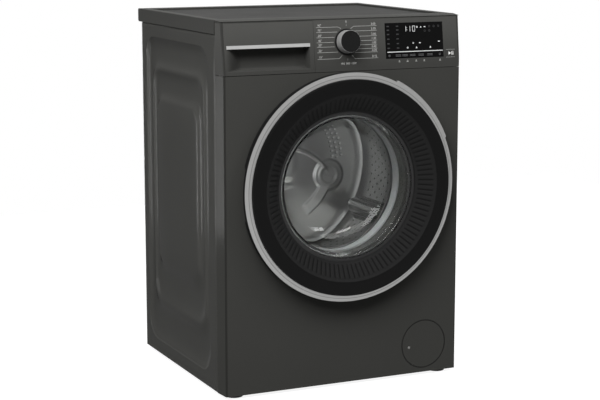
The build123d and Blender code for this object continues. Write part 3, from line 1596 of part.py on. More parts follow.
# Drum shell: a perforated cylinder with its front wall and turned lip
drum_inner = drum_radius - drum_sheet
drum_length = drum_rear_y - drum_front_y
sector = 360 / lifter_count
hole_angles = [
    lifter_start + sector * (lift + (column + 1) / (hole_columns + 1))
    for lift in range(lifter_count)
    for column in range(hole_columns)
]
hole_pitch = (drum_length - 2 * lifter_margin) / hole_rows
hole_depths = [drum_front_y + lifter_margin + hole_pitch * (row + 0.5) for row in range(hole_rows)]
with BuildPart() as drum_shell:
    with BuildSketch(axle_plane):
        Polygon(
            (drum_mouth_radius, drum_front_y - drum_lip),
            (drum_mouth_radius + drum_sheet, drum_front_y - drum_lip),
            (drum_mouth_radius + drum_sheet, drum_front_y),
            (drum_radius, drum_front_y),
            (drum_radius, drum_rear_y),
            (drum_inner, drum_rear_y),
            (drum_inner, drum_front_y + drum_sheet),
            (drum_mouth_radius, drum_front_y + drum_sheet),
            align=None,
        )
    revolve(axis=axle)
    for angle in hole_angles:
        outward = (cos(radians(angle)), 0, sin(radians(angle)))
        with BuildSketch(Plane(origin=(0, 0, axis_z), x_dir=(0, 1, 0), z_dir=outward)):
            with Locations(*[(y, 0) for y in hole_depths]):
                Circle(hole_radius)
        extrude(amount=drum_radius + seam, mode=Mode.SUBTRACT)
drum_shell.part.label = "drum_shell"
export_step(drum_shell.part, "parts/drum_shell.step")

# Drum back: a pressed disc with a raised centre
with BuildPart() as drum_back:
    with BuildSketch(axle_plane):
        Polygon(
            (0, drum_rear_y - drum_sheet - back_rise),
            (back_dome_radius - back_rise, drum_rear_y - drum_sheet - back_rise),
            (back_dome_radius, drum_rear_y - drum_sheet),
            (drum_inner, drum_rear_y - drum_sheet),
            (drum_inner, drum_rear_y),
            (back_dome_radius, drum_rear_y),
            (back_dome_radius - back_rise, drum_rear_y - back_rise),
            (0, drum_rear_y - back_rise),
            align=None,
        )
    revolve(axis=axle)
drum_back.part.label = "drum_back"
export_step(drum_back.part, "parts/drum_back.step")

# Lifters: three tapered paddles inside the shell
with BuildPart() as drum_lifters:
    with BuildSketch(facing(drum_front_y + lifter_margin)):
        with Locations((0, axis_z)):
            with PolarLocations(drum_inner - lifter_height, lifter_count, start_angle=lifter_start):
                Polygon(
                    (0, -lifter_top / 2),
                    (0, lifter_top / 2),
                    (lifter_height + seam, lifter_width / 2),
                    (lifter_height + seam, -lifter_width / 2),
                    align=None,
                )
            Circle(drum_inner, mode=Mode.INTERSECT)
    extrude(amount=-(drum_length - 2 * lifter_margin))
    fillet(
        drum_lifters.edges().filter_by(Axis.Y).filter_by(
            lambda edge: hypot(edge.center().X, edge.center().Z - axis_z) < drum_inner - lifter_height / 2
        ),
        lifter_top / 4,
    )
drum_lifters.part.label = "drum_lifters"
export_step(drum_lifters.part, "parts/drum_lifters.step")

# Spider: hub, three arms behind the drum and the shaft
with BuildPart() as drum_spider:
    with BuildSketch(facing(drum_rear_y)):
        with Locations((0, axis_z)):
            with PolarLocations(drum_inner / 2, lifter_count, start_angle=-lifter_start):
                Rectangle(drum_inner, spider_width)
            Circle(drum_inner - spider_depth / 2, mode=Mode.INTERSECT)
            Circle(spider_hub_radius)
    extrude(amount=-spider_depth)
    with BuildSketch(facing(drum_rear_y)):
        with Locations((0, axis_z)):
            Circle(shaft_radius)
    extrude(amount=-(pulley_y - drum_rear_y))
    with BuildSketch(facing(pulley_y)):
        with Locations((0, axis_z)):
            Circle(shaft_end_radius)
    extrude(amount=-(pulley_width + drum_lip))
drum_spider.part.label = "drum_spider"
export_step(drum_spider.part, "parts/drum_spider.step")

# Drum pulley: a spoked wheel on the shaft's end
with BuildPart() as drum_pulley:
    with BuildSketch(facing(pulley_y)):
        with Locations((0, axis_z)):
            Circle(pulley_radius)
            Circle(pulley_radius - pulley_rim, mode=Mode.SUBTRACT)
            Circle(pulley_hub_radius)
            with PolarLocations(pulley_radius / 2, spoke_count):
                Rectangle(pulley_radius - pulley_rim, spoke_width)
            Circle(shaft_end_radius, mode=Mode.SUBTRACT)
    extrude(amount=-pulley_width)
drum_pulley.part.label = "drum_pulley"
export_step(drum_pulley.part, "parts/drum_pulley.step")

# Beam across the cabinet that carries the springs
with BuildPart() as spring_beam:
    with BuildSketch(Plane.XY.offset(beam_z)):
        with Locations((0, spring_y)):
            Rectangle(2 * inner_x, beam_width)
    extrude(amount=beam_height)
spring_beam.part.label = "spring_beam"
export_step(spring_beam.part, "parts/spring_beam.step")

# Suspension springs, as plain sleeves of the coils' size
with BuildPart() as suspension_springs:
    with BuildSketch(Plane.XY.offset(spring_low_z)):
        with Locations(*spring_places):
            Circle(spring_radius)
            Circle(spring_radius - spring_wall, mode=Mode.SUBTRACT)
    extrude(amount=beam_z - spring_low_z)
suspension_springs.part.label = "suspension_springs"
export_step(suspension_springs.part, "parts/suspension_springs.step")

# Friction dampers: cylinders on the base tray and rods under the tub
with BuildPart() as damper_cylinders:
    with BuildSketch(Plane.XY.offset(floor_z)):
        with Locations(*damper_places):
            Rectangle(2 * damper_radius, 2 * damper_radius)
    extrude(amount=damper_seat_z - floor_z)
    with BuildSketch(Plane.XY.offset(damper_seat_z)):
        with Locations(*damper_places):
            Circle(damper_radius)
    extrude(amount=damper_top_z - damper_seat_z)
    with BuildSketch(Plane.XY.offset(damper_seat_z)):
        with Locations(*damper_places):
            Circle(damper_rod_radius + damper_gap)
    extrude(amount=damper_top_z - damper_seat_z, mode=Mode.SUBTRACT)
damper_cylinders.part.label = "damper_cylinders"
export_step(damper_cylinders.part, "parts/damper_cylinders.step")
with BuildPart() as damper_rods:
    with BuildSketch(Plane.XY.offset(rod_low_z)):
        with Locations(*damper_places):
            Circle(damper_rod_radius)
    extrude(amount=damper_eye_z - rod_low_z)
    with BuildSketch(Plane.XY.offset(damper_eye_z)):
        with Locations(*damper_places):
            Rectangle(lug_width, lug_width)
    extrude(amount=damper_eye_height)
damper_rods.part.label = "damper_rods"
export_step(damper_rods.part, "parts/damper_rods.step")

# Drain pump: filter body with its inlet, outlet, foot and motor
pump_y0 = front_y + filter_front
pump_y1 = pump_y0 + filter_length
inlet_y = front_y + sump_y
inlet_x = flap_x - filter_radius - spigot_length
outlet_x = flap_x + filter_radius + outlet_length
outlet_y = inlet_y + 2 * sump_radius
with BuildPart() as pump_housing:
    with BuildSketch(facing(pump_y0)):
        with Locations((flap_x, flap_z)):
            Circle(filter_radius)
    extrude(amount=-filter_length)
    with BuildSketch(Plane.XY.offset(floor_z)):
        with Locations((flap_x, (pump_y0 + pump_y1) / 2)):
            Rectangle(filter_radius, filter_length - 4 * filter_wall)
    extrude(amount=flap_z - floor_z)
    with BuildSketch(Plane.YZ.offset(inlet_x)):
        with Locations((inlet_y, flap_z)):
            Circle(sump_radius)
    extrude(amount=flap_x - inlet_x)
    with BuildSketch(Plane.YZ.offset(flap_x)):
        with Locations((outlet_y, flap_z)):
            Circle(drain_radius + drain_wall)
    extrude(amount=outlet_x - flap_x)
    with BuildSketch(facing(pump_y1)):
        with Locations((flap_x, flap_z)):
            Circle(pump_motor_radius)
    extrude(amount=-pump_motor_length)
    with BuildSketch(facing(pump_y0)):
        with Locations((flap_x, flap_z)):
            Circle(filter_radius - filter_wall)
    extrude(amount=-(filter_length - filter_wall), mode=Mode.SUBTRACT)
    with BuildSketch(Plane.YZ.offset(inlet_x)):
        with Locations((inlet_y, flap_z)):
            Circle(sump_bore)
    extrude(amount=flap_x - inlet_x, mode=Mode.SUBTRACT)
    with BuildSketch(Plane.YZ.offset(flap_x)):
        with Locations((outlet_y, flap_z)):
            Circle(drain_bore)
    extrude(amount=outlet_x - flap_x, mode=Mode.SUBTRACT)
pump_housing.part.label = "pump_housing"
export_step(pump_housing.part, "parts/pump_housing.step")

# Filter cap with its handle, plug and basket
basket_end = inlet_y + sump_bore
with BuildPart() as filter_cap:
    with BuildSketch(facing(pump_y0 - run_gap)):
        with Locations((flap_x, flap_z)):
            Circle(filter_radius)
    extrude(amount=cap_flange)
    with BuildSketch(facing(pump_y0 - run_gap - cap_flange)):
        with Locations((flap_x, flap_z)):
            SlotOverall(2 * (filter_radius - filter_wall), 2 * cap_handle, rotation=90)
    extrude(amount=cap_handle)
    with BuildSketch(facing(pump_y0 - run_gap)):
        with Locations((flap_x, flap_z)):
            Circle(filter_radius - filter_wall - run_gap)
    extrude(amount=-2 * cap_flange)
    with BuildSketch(facing(pump_y0)):
        with Locations((flap_x, flap_z)):
            Circle(basket_radius)
    extrude(amount=-(basket_end - pump_y0))
    with BuildSketch(facing(pump_y0 + 2 * cap_flange)):
        with Locations((flap_x, flap_z)):
            Circle(basket_radius - basket_wall)
    extrude(amount=-(basket_end - pump_y0 - 2 * cap_flange), mode=Mode.SUBTRACT)
    with BuildSketch(Plane.YZ.offset(flap_x - filter_radius)):
        with Locations((inlet_y, flap_z)):
            SlotOverall(2 * sump_radius, sump_bore)
    extrude(amount=2 * filter_radius, mode=Mode.SUBTRACT)
filter_cap.part.label = "filter_cap"
export_step(filter_cap.part, "parts/filter_cap.step")

# Filter flap: a round lid with a finger dot, on two arms that curve round the panel's edge
pivot_x = flap_x + flap_axis_x
pivot_y = front_y + flap_axis_y
arm_left = pivot_x - flap_arm_reach
arm_rear = pivot_y + flap_arm_depth
arm_half = flap_arm_wall / 2
with BuildPart() as filter_flap:
    with BuildSketch(facing(front_y)):
        with Locations((flap_x, flap_z)):
            Circle(flap_radius)
    extrude(amount=-flap_thickness)
    for arm_z in (flap_z + flap_lug_low, flap_z - flap_lug_high):
        with BuildSketch(Plane.XY.offset(arm_z)):
            Polygon(
                (pivot_x - arm_half, pivot_y),
                (pivot_x - arm_half, arm_rear),
                (arm_left, arm_rear),
                (arm_left, front_y + flap_thickness),
                (arm_left - flap_arm_wall, front_y + flap_thickness),
                (arm_left - flap_arm_wall, arm_rear + flap_arm_wall),
                (pivot_x + arm_half, arm_rear + flap_arm_wall),
                (pivot_x + arm_half, pivot_y),
                align=None,
            )
            with Locations((pivot_x, pivot_y)):
                Circle(flap_pin_radius)
        extrude(amount=flap_lug_high - flap_lug_low)
    for pin_z in (flap_z + flap_lug_low, flap_z - flap_ear_high):
        with BuildSketch(Plane.XY.offset(pin_z)):
            with Locations((pivot_x, pivot_y)):
                Circle(flap_pin_radius)
        extrude(amount=flap_ear_high - flap_lug_low)
    with BuildSketch(facing(front_y)):
        with Locations((flap_x + flap_dot_x, flap_z + flap_dot_z)):
            Circle(flap_dot_radius)
    extrude(amount=-flap_thickness / 2, taper=flap_dot_draft, mode=Mode.SUBTRACT)
filter_flap.part.label = "filter_flap"
export_step(filter_flap.part, "parts/filter_flap.step")

# Frame behind the panel: a ring on the base tray, open for the flap's arms, and the pins' ears
ear_x0 = flap_x + flap_frame_inner - flap_ear_half
ear_x1 = pivot_x + flap_ear_half
with BuildPart() as filter_flap_frame:
    with BuildSketch(facing(front_y + sheet)):
        with Locations((flap_x, flap_z)):
            Circle(flap_frame_outer)
            Circle(flap_frame_inner, mode=Mode.SUBTRACT)
            with Locations((flap_frame_outer, 0)):
                Rectangle(flap_frame_outer, 2 * flap_ear_low, mode=Mode.SUBTRACT)
        for ear_z in (flap_z - flap_ear_high, flap_z + flap_ear_low):
            with Locations(((ear_x0 + ear_x1) / 2, ear_z + (flap_ear_high - flap_ear_low) / 2)):
                Rectangle(ear_x1 - ear_x0, flap_ear_high - flap_ear_low)
        with Locations((flap_x, floor_z / 2)):
            Rectangle(2 * flap_frame_outer, floor_z, mode=Mode.SUBTRACT)
    extrude(amount=-(flap_frame_depth - sheet))
    with BuildSketch(Plane.XY.offset(flap_z - flap_ear_high)):
        with Locations((pivot_x, pivot_y)):
            Circle(flap_pin_radius + shaft_clearance)
    extrude(amount=2 * flap_ear_high, mode=Mode.SUBTRACT)
filter_flap_frame.part.label = "filter_flap_frame"
export_step(filter_flap_frame.part, "parts/filter_flap_frame.step")

# Hose from the tub's sump to the pump
hose_radius = sump_radius + sump_gap + sump_wall
with BuildPart() as sump_hose:
    with BuildLine() as sump_path:
        FilletPolyline(
            (sump_x, inlet_y, sump_high_z + sump_overlap),
            (sump_x, inlet_y, flap_z),
            (inlet_x + sump_overlap, inlet_y, flap_z),
            radius=sump_bend,
        )
    with BuildSketch(Plane(origin=sump_path.line @ 0, z_dir=(0, 0, -1))):
        Circle(hose_radius)
        Circle(sump_radius + sump_gap, mode=Mode.SUBTRACT)
    sweep(path=sump_path.line)
sump_hose.part.label = "sump_hose"
export_step(sump_hose.part, "parts/sump_hose.step")

# Drain hose from the pump to its spigot in the rear panel
with BuildPart() as drain_hose:
    with BuildLine() as drain_path:
        FilletPolyline(
            (outlet_x, outlet_y, flap_z),
            (drain_run_x, outlet_y, flap_z),
            (drain_run_x, drain_run_y, flap_z),
            (drain_run_x, drain_run_y, drain_z),
            (drain_x, drain_run_y, drain_z),
            (drain_x, rear_y + drain_length, drain_z),
            radius=drain_bend,
        )
    with BuildSketch(Plane(origin=drain_path.line @ 0, z_dir=(1, 0, 0))):
        Circle(drain_radius)
        Circle(drain_bore, mode=Mode.SUBTRACT)
    sweep(path=drain_path.line)
    # Thicker end that the outer hose slips over
    with BuildSketch(facing(rear_y + seam)):
        with Locations((drain_x, drain_z)):
            Circle(drain_radius + drain_barb)
            Circle(drain_bore, mode=Mode.SUBTRACT)
    extrude(amount=-(drain_length - seam))
drain_hose.part.label = "drain_hose"
export_step(drain_hose.part, "parts/drain_hose.step")
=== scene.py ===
# Front load washing machine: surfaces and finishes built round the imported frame, sizes in mm
import json
from math import atan, cos, pi, radians, sin, tau

import bmesh
import bpy
import numpy as np

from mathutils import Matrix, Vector


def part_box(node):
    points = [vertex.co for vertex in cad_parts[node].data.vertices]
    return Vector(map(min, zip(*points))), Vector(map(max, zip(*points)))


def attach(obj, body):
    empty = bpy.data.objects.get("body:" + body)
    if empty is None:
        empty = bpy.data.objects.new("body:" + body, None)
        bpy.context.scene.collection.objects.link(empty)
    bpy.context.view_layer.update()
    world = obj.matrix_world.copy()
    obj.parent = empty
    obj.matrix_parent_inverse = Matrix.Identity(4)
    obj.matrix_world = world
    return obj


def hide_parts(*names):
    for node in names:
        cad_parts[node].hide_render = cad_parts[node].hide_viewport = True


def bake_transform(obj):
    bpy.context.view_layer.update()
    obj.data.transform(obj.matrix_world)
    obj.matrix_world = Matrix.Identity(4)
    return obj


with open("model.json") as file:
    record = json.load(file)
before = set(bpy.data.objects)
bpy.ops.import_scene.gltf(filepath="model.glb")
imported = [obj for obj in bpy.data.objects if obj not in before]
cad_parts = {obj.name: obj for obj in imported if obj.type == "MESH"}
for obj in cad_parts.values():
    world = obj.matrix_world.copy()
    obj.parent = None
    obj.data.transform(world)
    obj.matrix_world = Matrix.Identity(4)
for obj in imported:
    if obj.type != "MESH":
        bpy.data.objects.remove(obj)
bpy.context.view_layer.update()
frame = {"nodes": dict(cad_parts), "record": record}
nodes = frame["nodes"]
slotOf = {part["node"]: part["material_slot"] for part in frame["record"]["subparts"]}
scene = bpy.context.scene
frontY, drumAxis = -246.0, 469.0  # face of the front panel; height of the axis that drum and door share
axisZ = drumAxis / 1000
print("frame:", len(nodes), "nodes")


# a link or a plain value goes into a socket
def join(tree, slot, item):
    if isinstance(item, Flow):
        tree.links.new(item.socket, slot)
    else:
        slot.default_value = item


# one shader output; an operator on it adds a Math node
class Flow:
    def __init__(self, tree, socket):
        self.tree, self.socket = tree, socket

    # any operation of a Math node on its inputs in order
    def maths(self, operation, *items):
        made = self.tree.nodes.new("ShaderNodeMath")
        made.operation = operation
        for slot, item in zip(made.inputs, items):
            join(self.tree, slot, item)
        return Flow(self.tree, made.outputs[0])

    def __add__(self, other): return self.maths("ADD", self, other)
    def __radd__(self, other): return self.maths("ADD", other, self)
    def __sub__(self, other): return self.maths("SUBTRACT", self, other)
    def __rsub__(self, other): return self.maths("SUBTRACT", other, self)
    def __mul__(self, other): return self.maths("MULTIPLY", self, other)
    def __rmul__(self, other): return self.maths("MULTIPLY", other, self)
    def __truediv__(self, other): return self.maths("DIVIDE", self, other)
    def __pow__(self, other): return self.maths("POWER", self, other)
    def __mod__(self, other): return self.maths("FLOORED_MODULO", self, other)
    def __gt__(self, other): return self.maths("GREATER_THAN", self, other)
    def __lt__(self, other): return self.maths("LESS_THAN", self, other)
    def __abs__(self): return self.maths("ABSOLUTE", self)


# one material: a Principled shader and the nodes that feed it
class Finish:
    def __init__(self, name):
        self.material = bpy.data.materials.new(name)
        self.material.use_nodes = True
        self.tree = self.material.node_tree
        self.shader = self.tree.nodes["Principled BSDF"]
        self.at = self.node("TexCoord", {}, {}, "Object")

    # any node: its type, its settings first, then its sockets
    def node(self, kind, settings, sockets, out=0):
        made = self.tree.nodes.new("ShaderNode" + kind)
        for key, item in settings.items():
            setattr(made, key, item)
        for key, item in sockets.items():
            join(self.tree, made.inputs[key], item)
        return Flow(self.tree, made.outputs[out])

    # cloudy noise; each further detail adds noise of twice the scale and half the strength
    def noise(self, scale, detail, at=None):
        return self.node("TexNoise", {}, {"Vector": at or self.at, "Scale": scale, "Detail": detail})

    # distance to the nearest of scattered points, or that point's own colour
    def cells(self, scale, out=0):
        return self.node("TexVoronoi", {}, {"Vector": self.at, "Scale": scale}, out)

    # the place in metres: across, depth and height
    def xyz(self):
        split = self.node("SeparateXYZ", {}, {"Vector": self.at})
        return [Flow(self.tree, socket) for socket in split.socket.node.outputs]

    # about a front to rear axis through x and z: the root of across squared plus height squared, the angle, the depth
    def polar(self, x, z):
        across, depth, up = self.xyz()
        across, up = across - x, up - z
        return (across * across + up * up) ** 0.5, up.maths("ARCTAN2", up, across), depth

    # smooth step from 0 at low to 1 at high
    def step(self, value, low, high):
        return self.node("MapRange", {"interpolation_type": "SMOOTHSTEP"},
                         {"Value": value, 1: low, 2: high, 3: 0.0, 4: 1.0})

    # colour low where the mask is 0, high where it is 1
    def mix(self, mask, low, high):
        return self.node("Mix", {"data_type": "RGBA"}, {0: mask, 6: low, 7: high}, 2)

    # the tone times low where the mask is 0, times high where it is 1
    def shade(self, mask, tone, low, high):
        return self.mix(mask, times(tone, low), times(tone, high))

    # values or links for the shader's own sockets
    def give(self, sockets):
        for key, item in sockets.items():
            join(self.tree, self.shader.inputs[key], item)
        return self

    # a bump as high as the given value times the depth
    def relief(self, height, depth, strength=1.0):
        bump = {"Height": height, "Distance": depth, "Strength": strength}
        return self.give({"Normal": self.node("Bump", {}, bump)})


# a screen colour in 0 to 255 as the linear one that shaders take: with s its share of 255,
# ((s + 0.055) / 1.055) to the power 2.4, or s / 12.92 where it is dark
def tint(red, green, blue):
    level = np.array((red, green, blue)) / 255
    linear = np.where(level <= 0.04045, level / 12.92, ((level + 0.055) / 1.055) ** 2.4)
    return (*linear.tolist(), 1.0)


# a colour times a number, at most 1
def times(tone, by):
    return (*[min(1.0, part * by) for part in tone[:3]], 1.0)


# half the spread below the value where the mask is 0, half above it where the mask is 1
def about(value, mask, spread):
    return value - spread / 2 + mask * spread


# lines of painted shade on the enamel and fascia, in metres: along the folds and round the flap's gap
foldShade = {"x": 0.2906, "y": -0.2416, "seam": 0.729, "lean": 14.5 / 117.0, "soft": (0.0012, 0.001), "dark": 0.55}
flapGapShade = {"x": 0.2085, "z": 0.077, "radii": (0.0552, 0.0561, 0.0584, 0.0593)}


# painted shade along the tight fold between the front and its side returns: 1 outside x and in front of a depth
# that leans back above the seam
def onFoldShade(finish):
    across, depth, up = finish.xyz()
    leaning = up.maths("MAXIMUM", up - foldShade["seam"], 0.0) * foldShade["lean"]
    softX, softY = foldShade["soft"]
    outside = finish.step(abs(across), foldShade["x"], foldShade["x"] + softX)
    return outside * (1 - finish.step(depth - leaning, foldShade["y"] - softY, foldShade["y"]))


# painted shade round the gap between the flap and its hole: 1 between two radii about the flap's middle
def onFlapGapShade(finish):
    radius = finish.polar(flapGapShade["x"], flapGapShade["z"])[0]
    low, inside, outside, high = flapGapShade["radii"]
    return finish.step(radius, low, inside) * (1 - finish.step(radius, outside, high))


# enamel on pressed steel: fine metal fleck, faint clouding, orange peel; painted shade darkens the folds and the gap
# round the flap
def enamel(name, tone, rough=0.16, spec=0.003):
    finish = Finish(name)
    cloud, fleck = finish.noise(5.0, 3.0), finish.noise(1500.0, 1.0)
    plain = finish.shade(cloud * 0.4 + fleck * 0.6, tone, 0.84, 1.16)
    edges = onFoldShade(finish) + onFlapGapShade(finish)
    finish.give({"Base Color": finish.mix(edges, plain, times(tone, foldShade["dark"])),
                 "Roughness": about(rough, cloud, 0.1), "Specular IOR Level": spec})
    return finish.relief(finish.noise(420.0, 1.0), 0.00003).material


# painted shade: the fascia darker towards its foot, where it takes less light
fasciaPaintedShade = {"z": (0.722, 0.85), "foot": 0.64}


# moulded plastic: eroded texture of a given pitch, slight wear of the gloss;
# with a fade, painted shade: the tone falls by a smooth step of the height to a share of itself at the foot, and the
# folds are darkened
def moulded(name, tone, rough=0.5, spec=0.3, pitch=900.0, depth=0.00004, fade=None):
    finish = Finish(name)
    grain, cloud = finish.cells(pitch), finish.noise(9.0, 3.0)
    plain = finish.shade(grain * 0.5 + cloud * 0.5, tone, 0.86, 1.14)
    if fade:
        # painted shade, darker towards the foot and along the folds
        plain = finish.mix(finish.step(finish.xyz()[2], *fade["z"]), times(tone, fade["foot"]), plain)
        plain = finish.mix(onFoldShade(finish), plain, times(tone, foldShade["dark"]))
    finish.give({"Base Color": plain, "Roughness": about(rough, cloud, 0.12), "Specular IOR Level": spec})
    return finish.relief(grain + finish.noise(pitch * 0.6, 1.0) * 0.6, depth).material


# brushed metal: noise drawn out to long streaks along one way, with a coarser tone under them
def brushed(name, tone, stretch, rough=0.3, metal=1.0):
    finish = Finish(name)
    drawn = finish.node("Mapping", {}, {"Vector": finish.at, "Scale": stretch})
    streak, cloud = finish.noise(1.0, 3.0, drawn), finish.noise(14.0, 2.0)
    finish.give({"Base Color": finish.shade(streak * 0.7 + cloud * 0.3, tone, 0.82, 1.16),
                 "Roughness": about(rough, streak, 0.16), "Metallic": metal})
    return finish.relief(streak, 0.00002).material


# galvanised sheet: crystal cells of many tones under a fine grain
def spangled(name, tone, rough=0.42):
    finish = Finish(name)
    spangle = finish.node("SeparateColor", {}, {"Color": finish.cells(75.0, "Color")})
    fine = finish.noise(380.0, 2.0)
    finish.give({"Base Color": finish.shade(spangle * 0.6 + fine * 0.4, tone, 0.78, 1.2),
                 "Roughness": about(rough, spangle, 0.16), "Metallic": 0.85})
    return finish.relief(fine, 0.00002).material


# sand cast or poured stuff: two grain sizes and specks over a mottled ground
def grainy(name, tone, rough, metal, coarse, depth):
    finish = Finish(name)
    lump, fine = finish.noise(coarse, 4.0), finish.noise(coarse * 9, 2.0)
    speck = finish.step(finish.cells(coarse * 2.5), 0.1, 0.3)
    finish.give({"Base Color": finish.shade(lump * 0.4 + fine * 0.3 + speck * 0.3, tone, 0.7, 1.25),
                 "Roughness": about(rough, fine, 0.2), "Metallic": metal})
    return finish.relief(lump * 0.5 + fine * 0.5, depth).material


# moulded rubber: dull, with a dusty bloom over fine pores
def rubber(name, tone, rough=0.62):
    finish = Finish(name)
    bloom, pore = finish.noise(22.0, 4.0), finish.noise(1100.0, 1.0)
    finish.give({"Base Color": finish.shade(bloom * 0.7 + pore * 0.3, tone, 0.8, 1.3),
                 "Roughness": about(rough, bloom, 0.16), "Specular IOR Level": 0.3})
    return finish.relief(pore, 0.00004).material


# clear pressed glass: faint waves of the mould, a trace of grey green
def pressedGlass(name):
    finish = Finish(name)
    wave = finish.noise(26.0, 1.0)
    finish.give({"Base Color": finish.mix(wave, (0.93, 0.95, 0.94, 1.0), (0.98, 0.99, 0.985, 1.0)),
                 "Roughness": wave * 0.02, "Transmission Weight": 1.0, "IOR": 1.26})
    return finish.material


# stacked motor sheets: a fine dark line across the axle where one sheet meets the next, and blotches
def laminated(name, tone, perMetre=1400.0):
    finish = Finish(name)
    line = finish.step(abs(finish.xyz()[1] * perMetre % 1.0 - 0.5), 0.3, 0.5)
    rust = finish.noise(40.0, 4.0)
    finish.give({"Base Color": finish.shade(line * 0.6 + rust * 0.4, tone, 1.25, 0.55),
                 "Roughness": 0.45 + rust * 0.2, "Metallic": 0.75})
    return finish.relief(1 - line, 0.0001).material


# circuit board: green lacquer over copper runs, which are stripes cut up by noise, and bare pads round
# scattered points
def lacqueredBoard(name, perMetre=180.0):
    finish = Finish(name)
    stripes = finish.step(abs(finish.xyz()[0] * perMetre % 1.0 - 0.5), 0.28, 0.34)
    runs = stripes * finish.step(finish.noise(55.0, 0.0), 0.45, 0.5)
    pads = 1 - finish.step(finish.cells(160.0), 0.12, 0.16)
    lacquer = finish.mix(runs, tint(16, 62, 34), tint(38, 96, 52))
    finish.give({"Base Color": finish.mix(pads, lacquer, tint(190, 176, 120)),
                 "Roughness": 0.3 + runs * 0.1, "Metallic": pads * 0.8})
    return finish.relief(runs + pads, 0.00006).material


# holes all over the drum's wall and in three patches on its back, in metres and degrees
# the colour in each patch's holes is painted shade on the wall and painted light on the back; the sheet itself is
# whole
drumHoles = {"hole": 0.0023, "dimple": 0.0046, "sunk": 0.0012,
             "wall": {"radius": 0.2375, "beyond": 0.2336, "until": 0.088, "pitch": 0.0215, "row": 0.0185,
                      "rough": 0.3, "seen": (0.01, 0.01, 0.01, 1.0)},
             "back": {"radius": 0.165, "first": 18.0, "half": (0.047, 0.019), "pitch": 0.0135, "row": 0.0125,
                      "rough": 0.26, "seen": (0.8, 0.8, 0.8, 1.0)}}


# drum sheet: polished steel; along and out are lengths on the sheet, on the back from the middle of the nearest
# patch; every second row is shifted by half a pitch, and a place less than a hole's radius from the middle of
# the nearest hole takes the colour painted into the holes: painted shade on the wall, painted light on the back
def drumSheet(name, tone, side):
    finish, d = Finish(name), drumHoles[side]
    radius, angle, depth = finish.polar(0.0, axisZ)
    if side == "back":
        along = ((angle * (3 / tau) - d["first"] / 120 + 0.5) % 1.0 - 0.5) * (tau / 3 * d["radius"])
        out = radius - d["radius"]
        where = (abs(along) < d["half"][0]) * (abs(out) < d["half"][1])
    else:
        along, out = angle * d["radius"], depth
        where = (radius > d["beyond"]) * (depth < d["until"])
    row = out / d["row"] + 0.5
    turn = along / d["pitch"] + 0.5 * (row.maths("FLOOR", row) % 2.0)
    near = (((turn % 1.0 - 0.5) * d["pitch"]) ** 2.0 + ((row % 1.0 - 0.5) * d["row"]) ** 2.0) ** 0.5
    hole = (near < drumHoles["hole"]) * where
    dimple = (1 - finish.step(near, drumHoles["hole"], drumHoles["dimple"])) * where
    cloud = finish.noise(16.0, 2.0)
    finish.give({"Base Color": finish.mix(hole, finish.shade(cloud, tone, 0.92, 1.06), d["seen"]),
                 "Roughness": d["rough"] + cloud * 0.08 + hole * 0.2, "Metallic": 1 - hole})
    return finish.relief(0 - dimple, drumHoles["sunk"], 0.7).material


# bezel: glossy flat ring, and a satin funnel with painted shade in its grooves, where the cosine of ribs times the
# angle is low
def bezelBlack(name, ringTone, funnelTone, ribs):
    finish = Finish(name)
    radius, angle, _ = finish.polar(0.0, axisZ)
    flat = finish.step(radius, 0.2125, 0.2145)
    crest = angle.maths("COSINE", angle * float(ribs)) * 0.5 + 0.5
    ribbed = finish.step(radius, 0.176, 0.179) * (1 - finish.step(radius, 0.204, 0.209))
    # painted shade in the grooves between the ribs
    groove = (1 - finish.step(crest, 0.08, 0.34)) * ribbed
    grain = finish.noise(900.0, 1.0)
    finish.give({"Base Color": finish.mix(flat, finish.shade(groove, funnelTone, 1.0, 0.35), ringTone),
                 "Roughness": 0.46 - flat * 0.16 + grain * 0.06, "Specular IOR Level": 0.07})
    return finish.relief(grain, 0.00001).material


# silver lacquer on the door ring: noise drawn out round the door's axis, and painted shade along the crease at one
# radius
def ringLacquer(name, tone, fine=2600.0, crease=0.2528):
    finish = Finish(name)
    radius, angle, depth = finish.polar(0.0, axisZ)
    wound = finish.node("CombineXYZ", {}, {"X": radius * fine, "Y": depth * fine, "Z": angle * 5.0})
    groove, cloud = finish.noise(1.0, 2.0, wound), finish.noise(11.0, 2.0)
    plain = finish.shade(groove * 0.6 + cloud * 0.4, tone, 0.9, 1.1)
    offCreaseShade = finish.step(abs(radius - crease), 0.0004, 0.0013)
    finish.give({"Base Color": finish.mix(offCreaseShade, times(tone, 0.62), plain),
                 "Roughness": 0.4 + groove * 0.12, "Metallic": 0.85, "Specular IOR Level": 0.1})
    return finish.relief(groove, 0.00003).material


# printed ink: slightly uneven cover, lit where it glows
def ink(name, tone, glow=0.0):
    finish = Finish(name)
    cover = finish.noise(2200.0, 1.0)
    finish.give({"Base Color": finish.shade(cover, tone, 0.88, 1.08), "Roughness": 0.5 + cover * 0.1,
                 "Emission Color": tone, "Emission Strength": glow})
    return finish.material


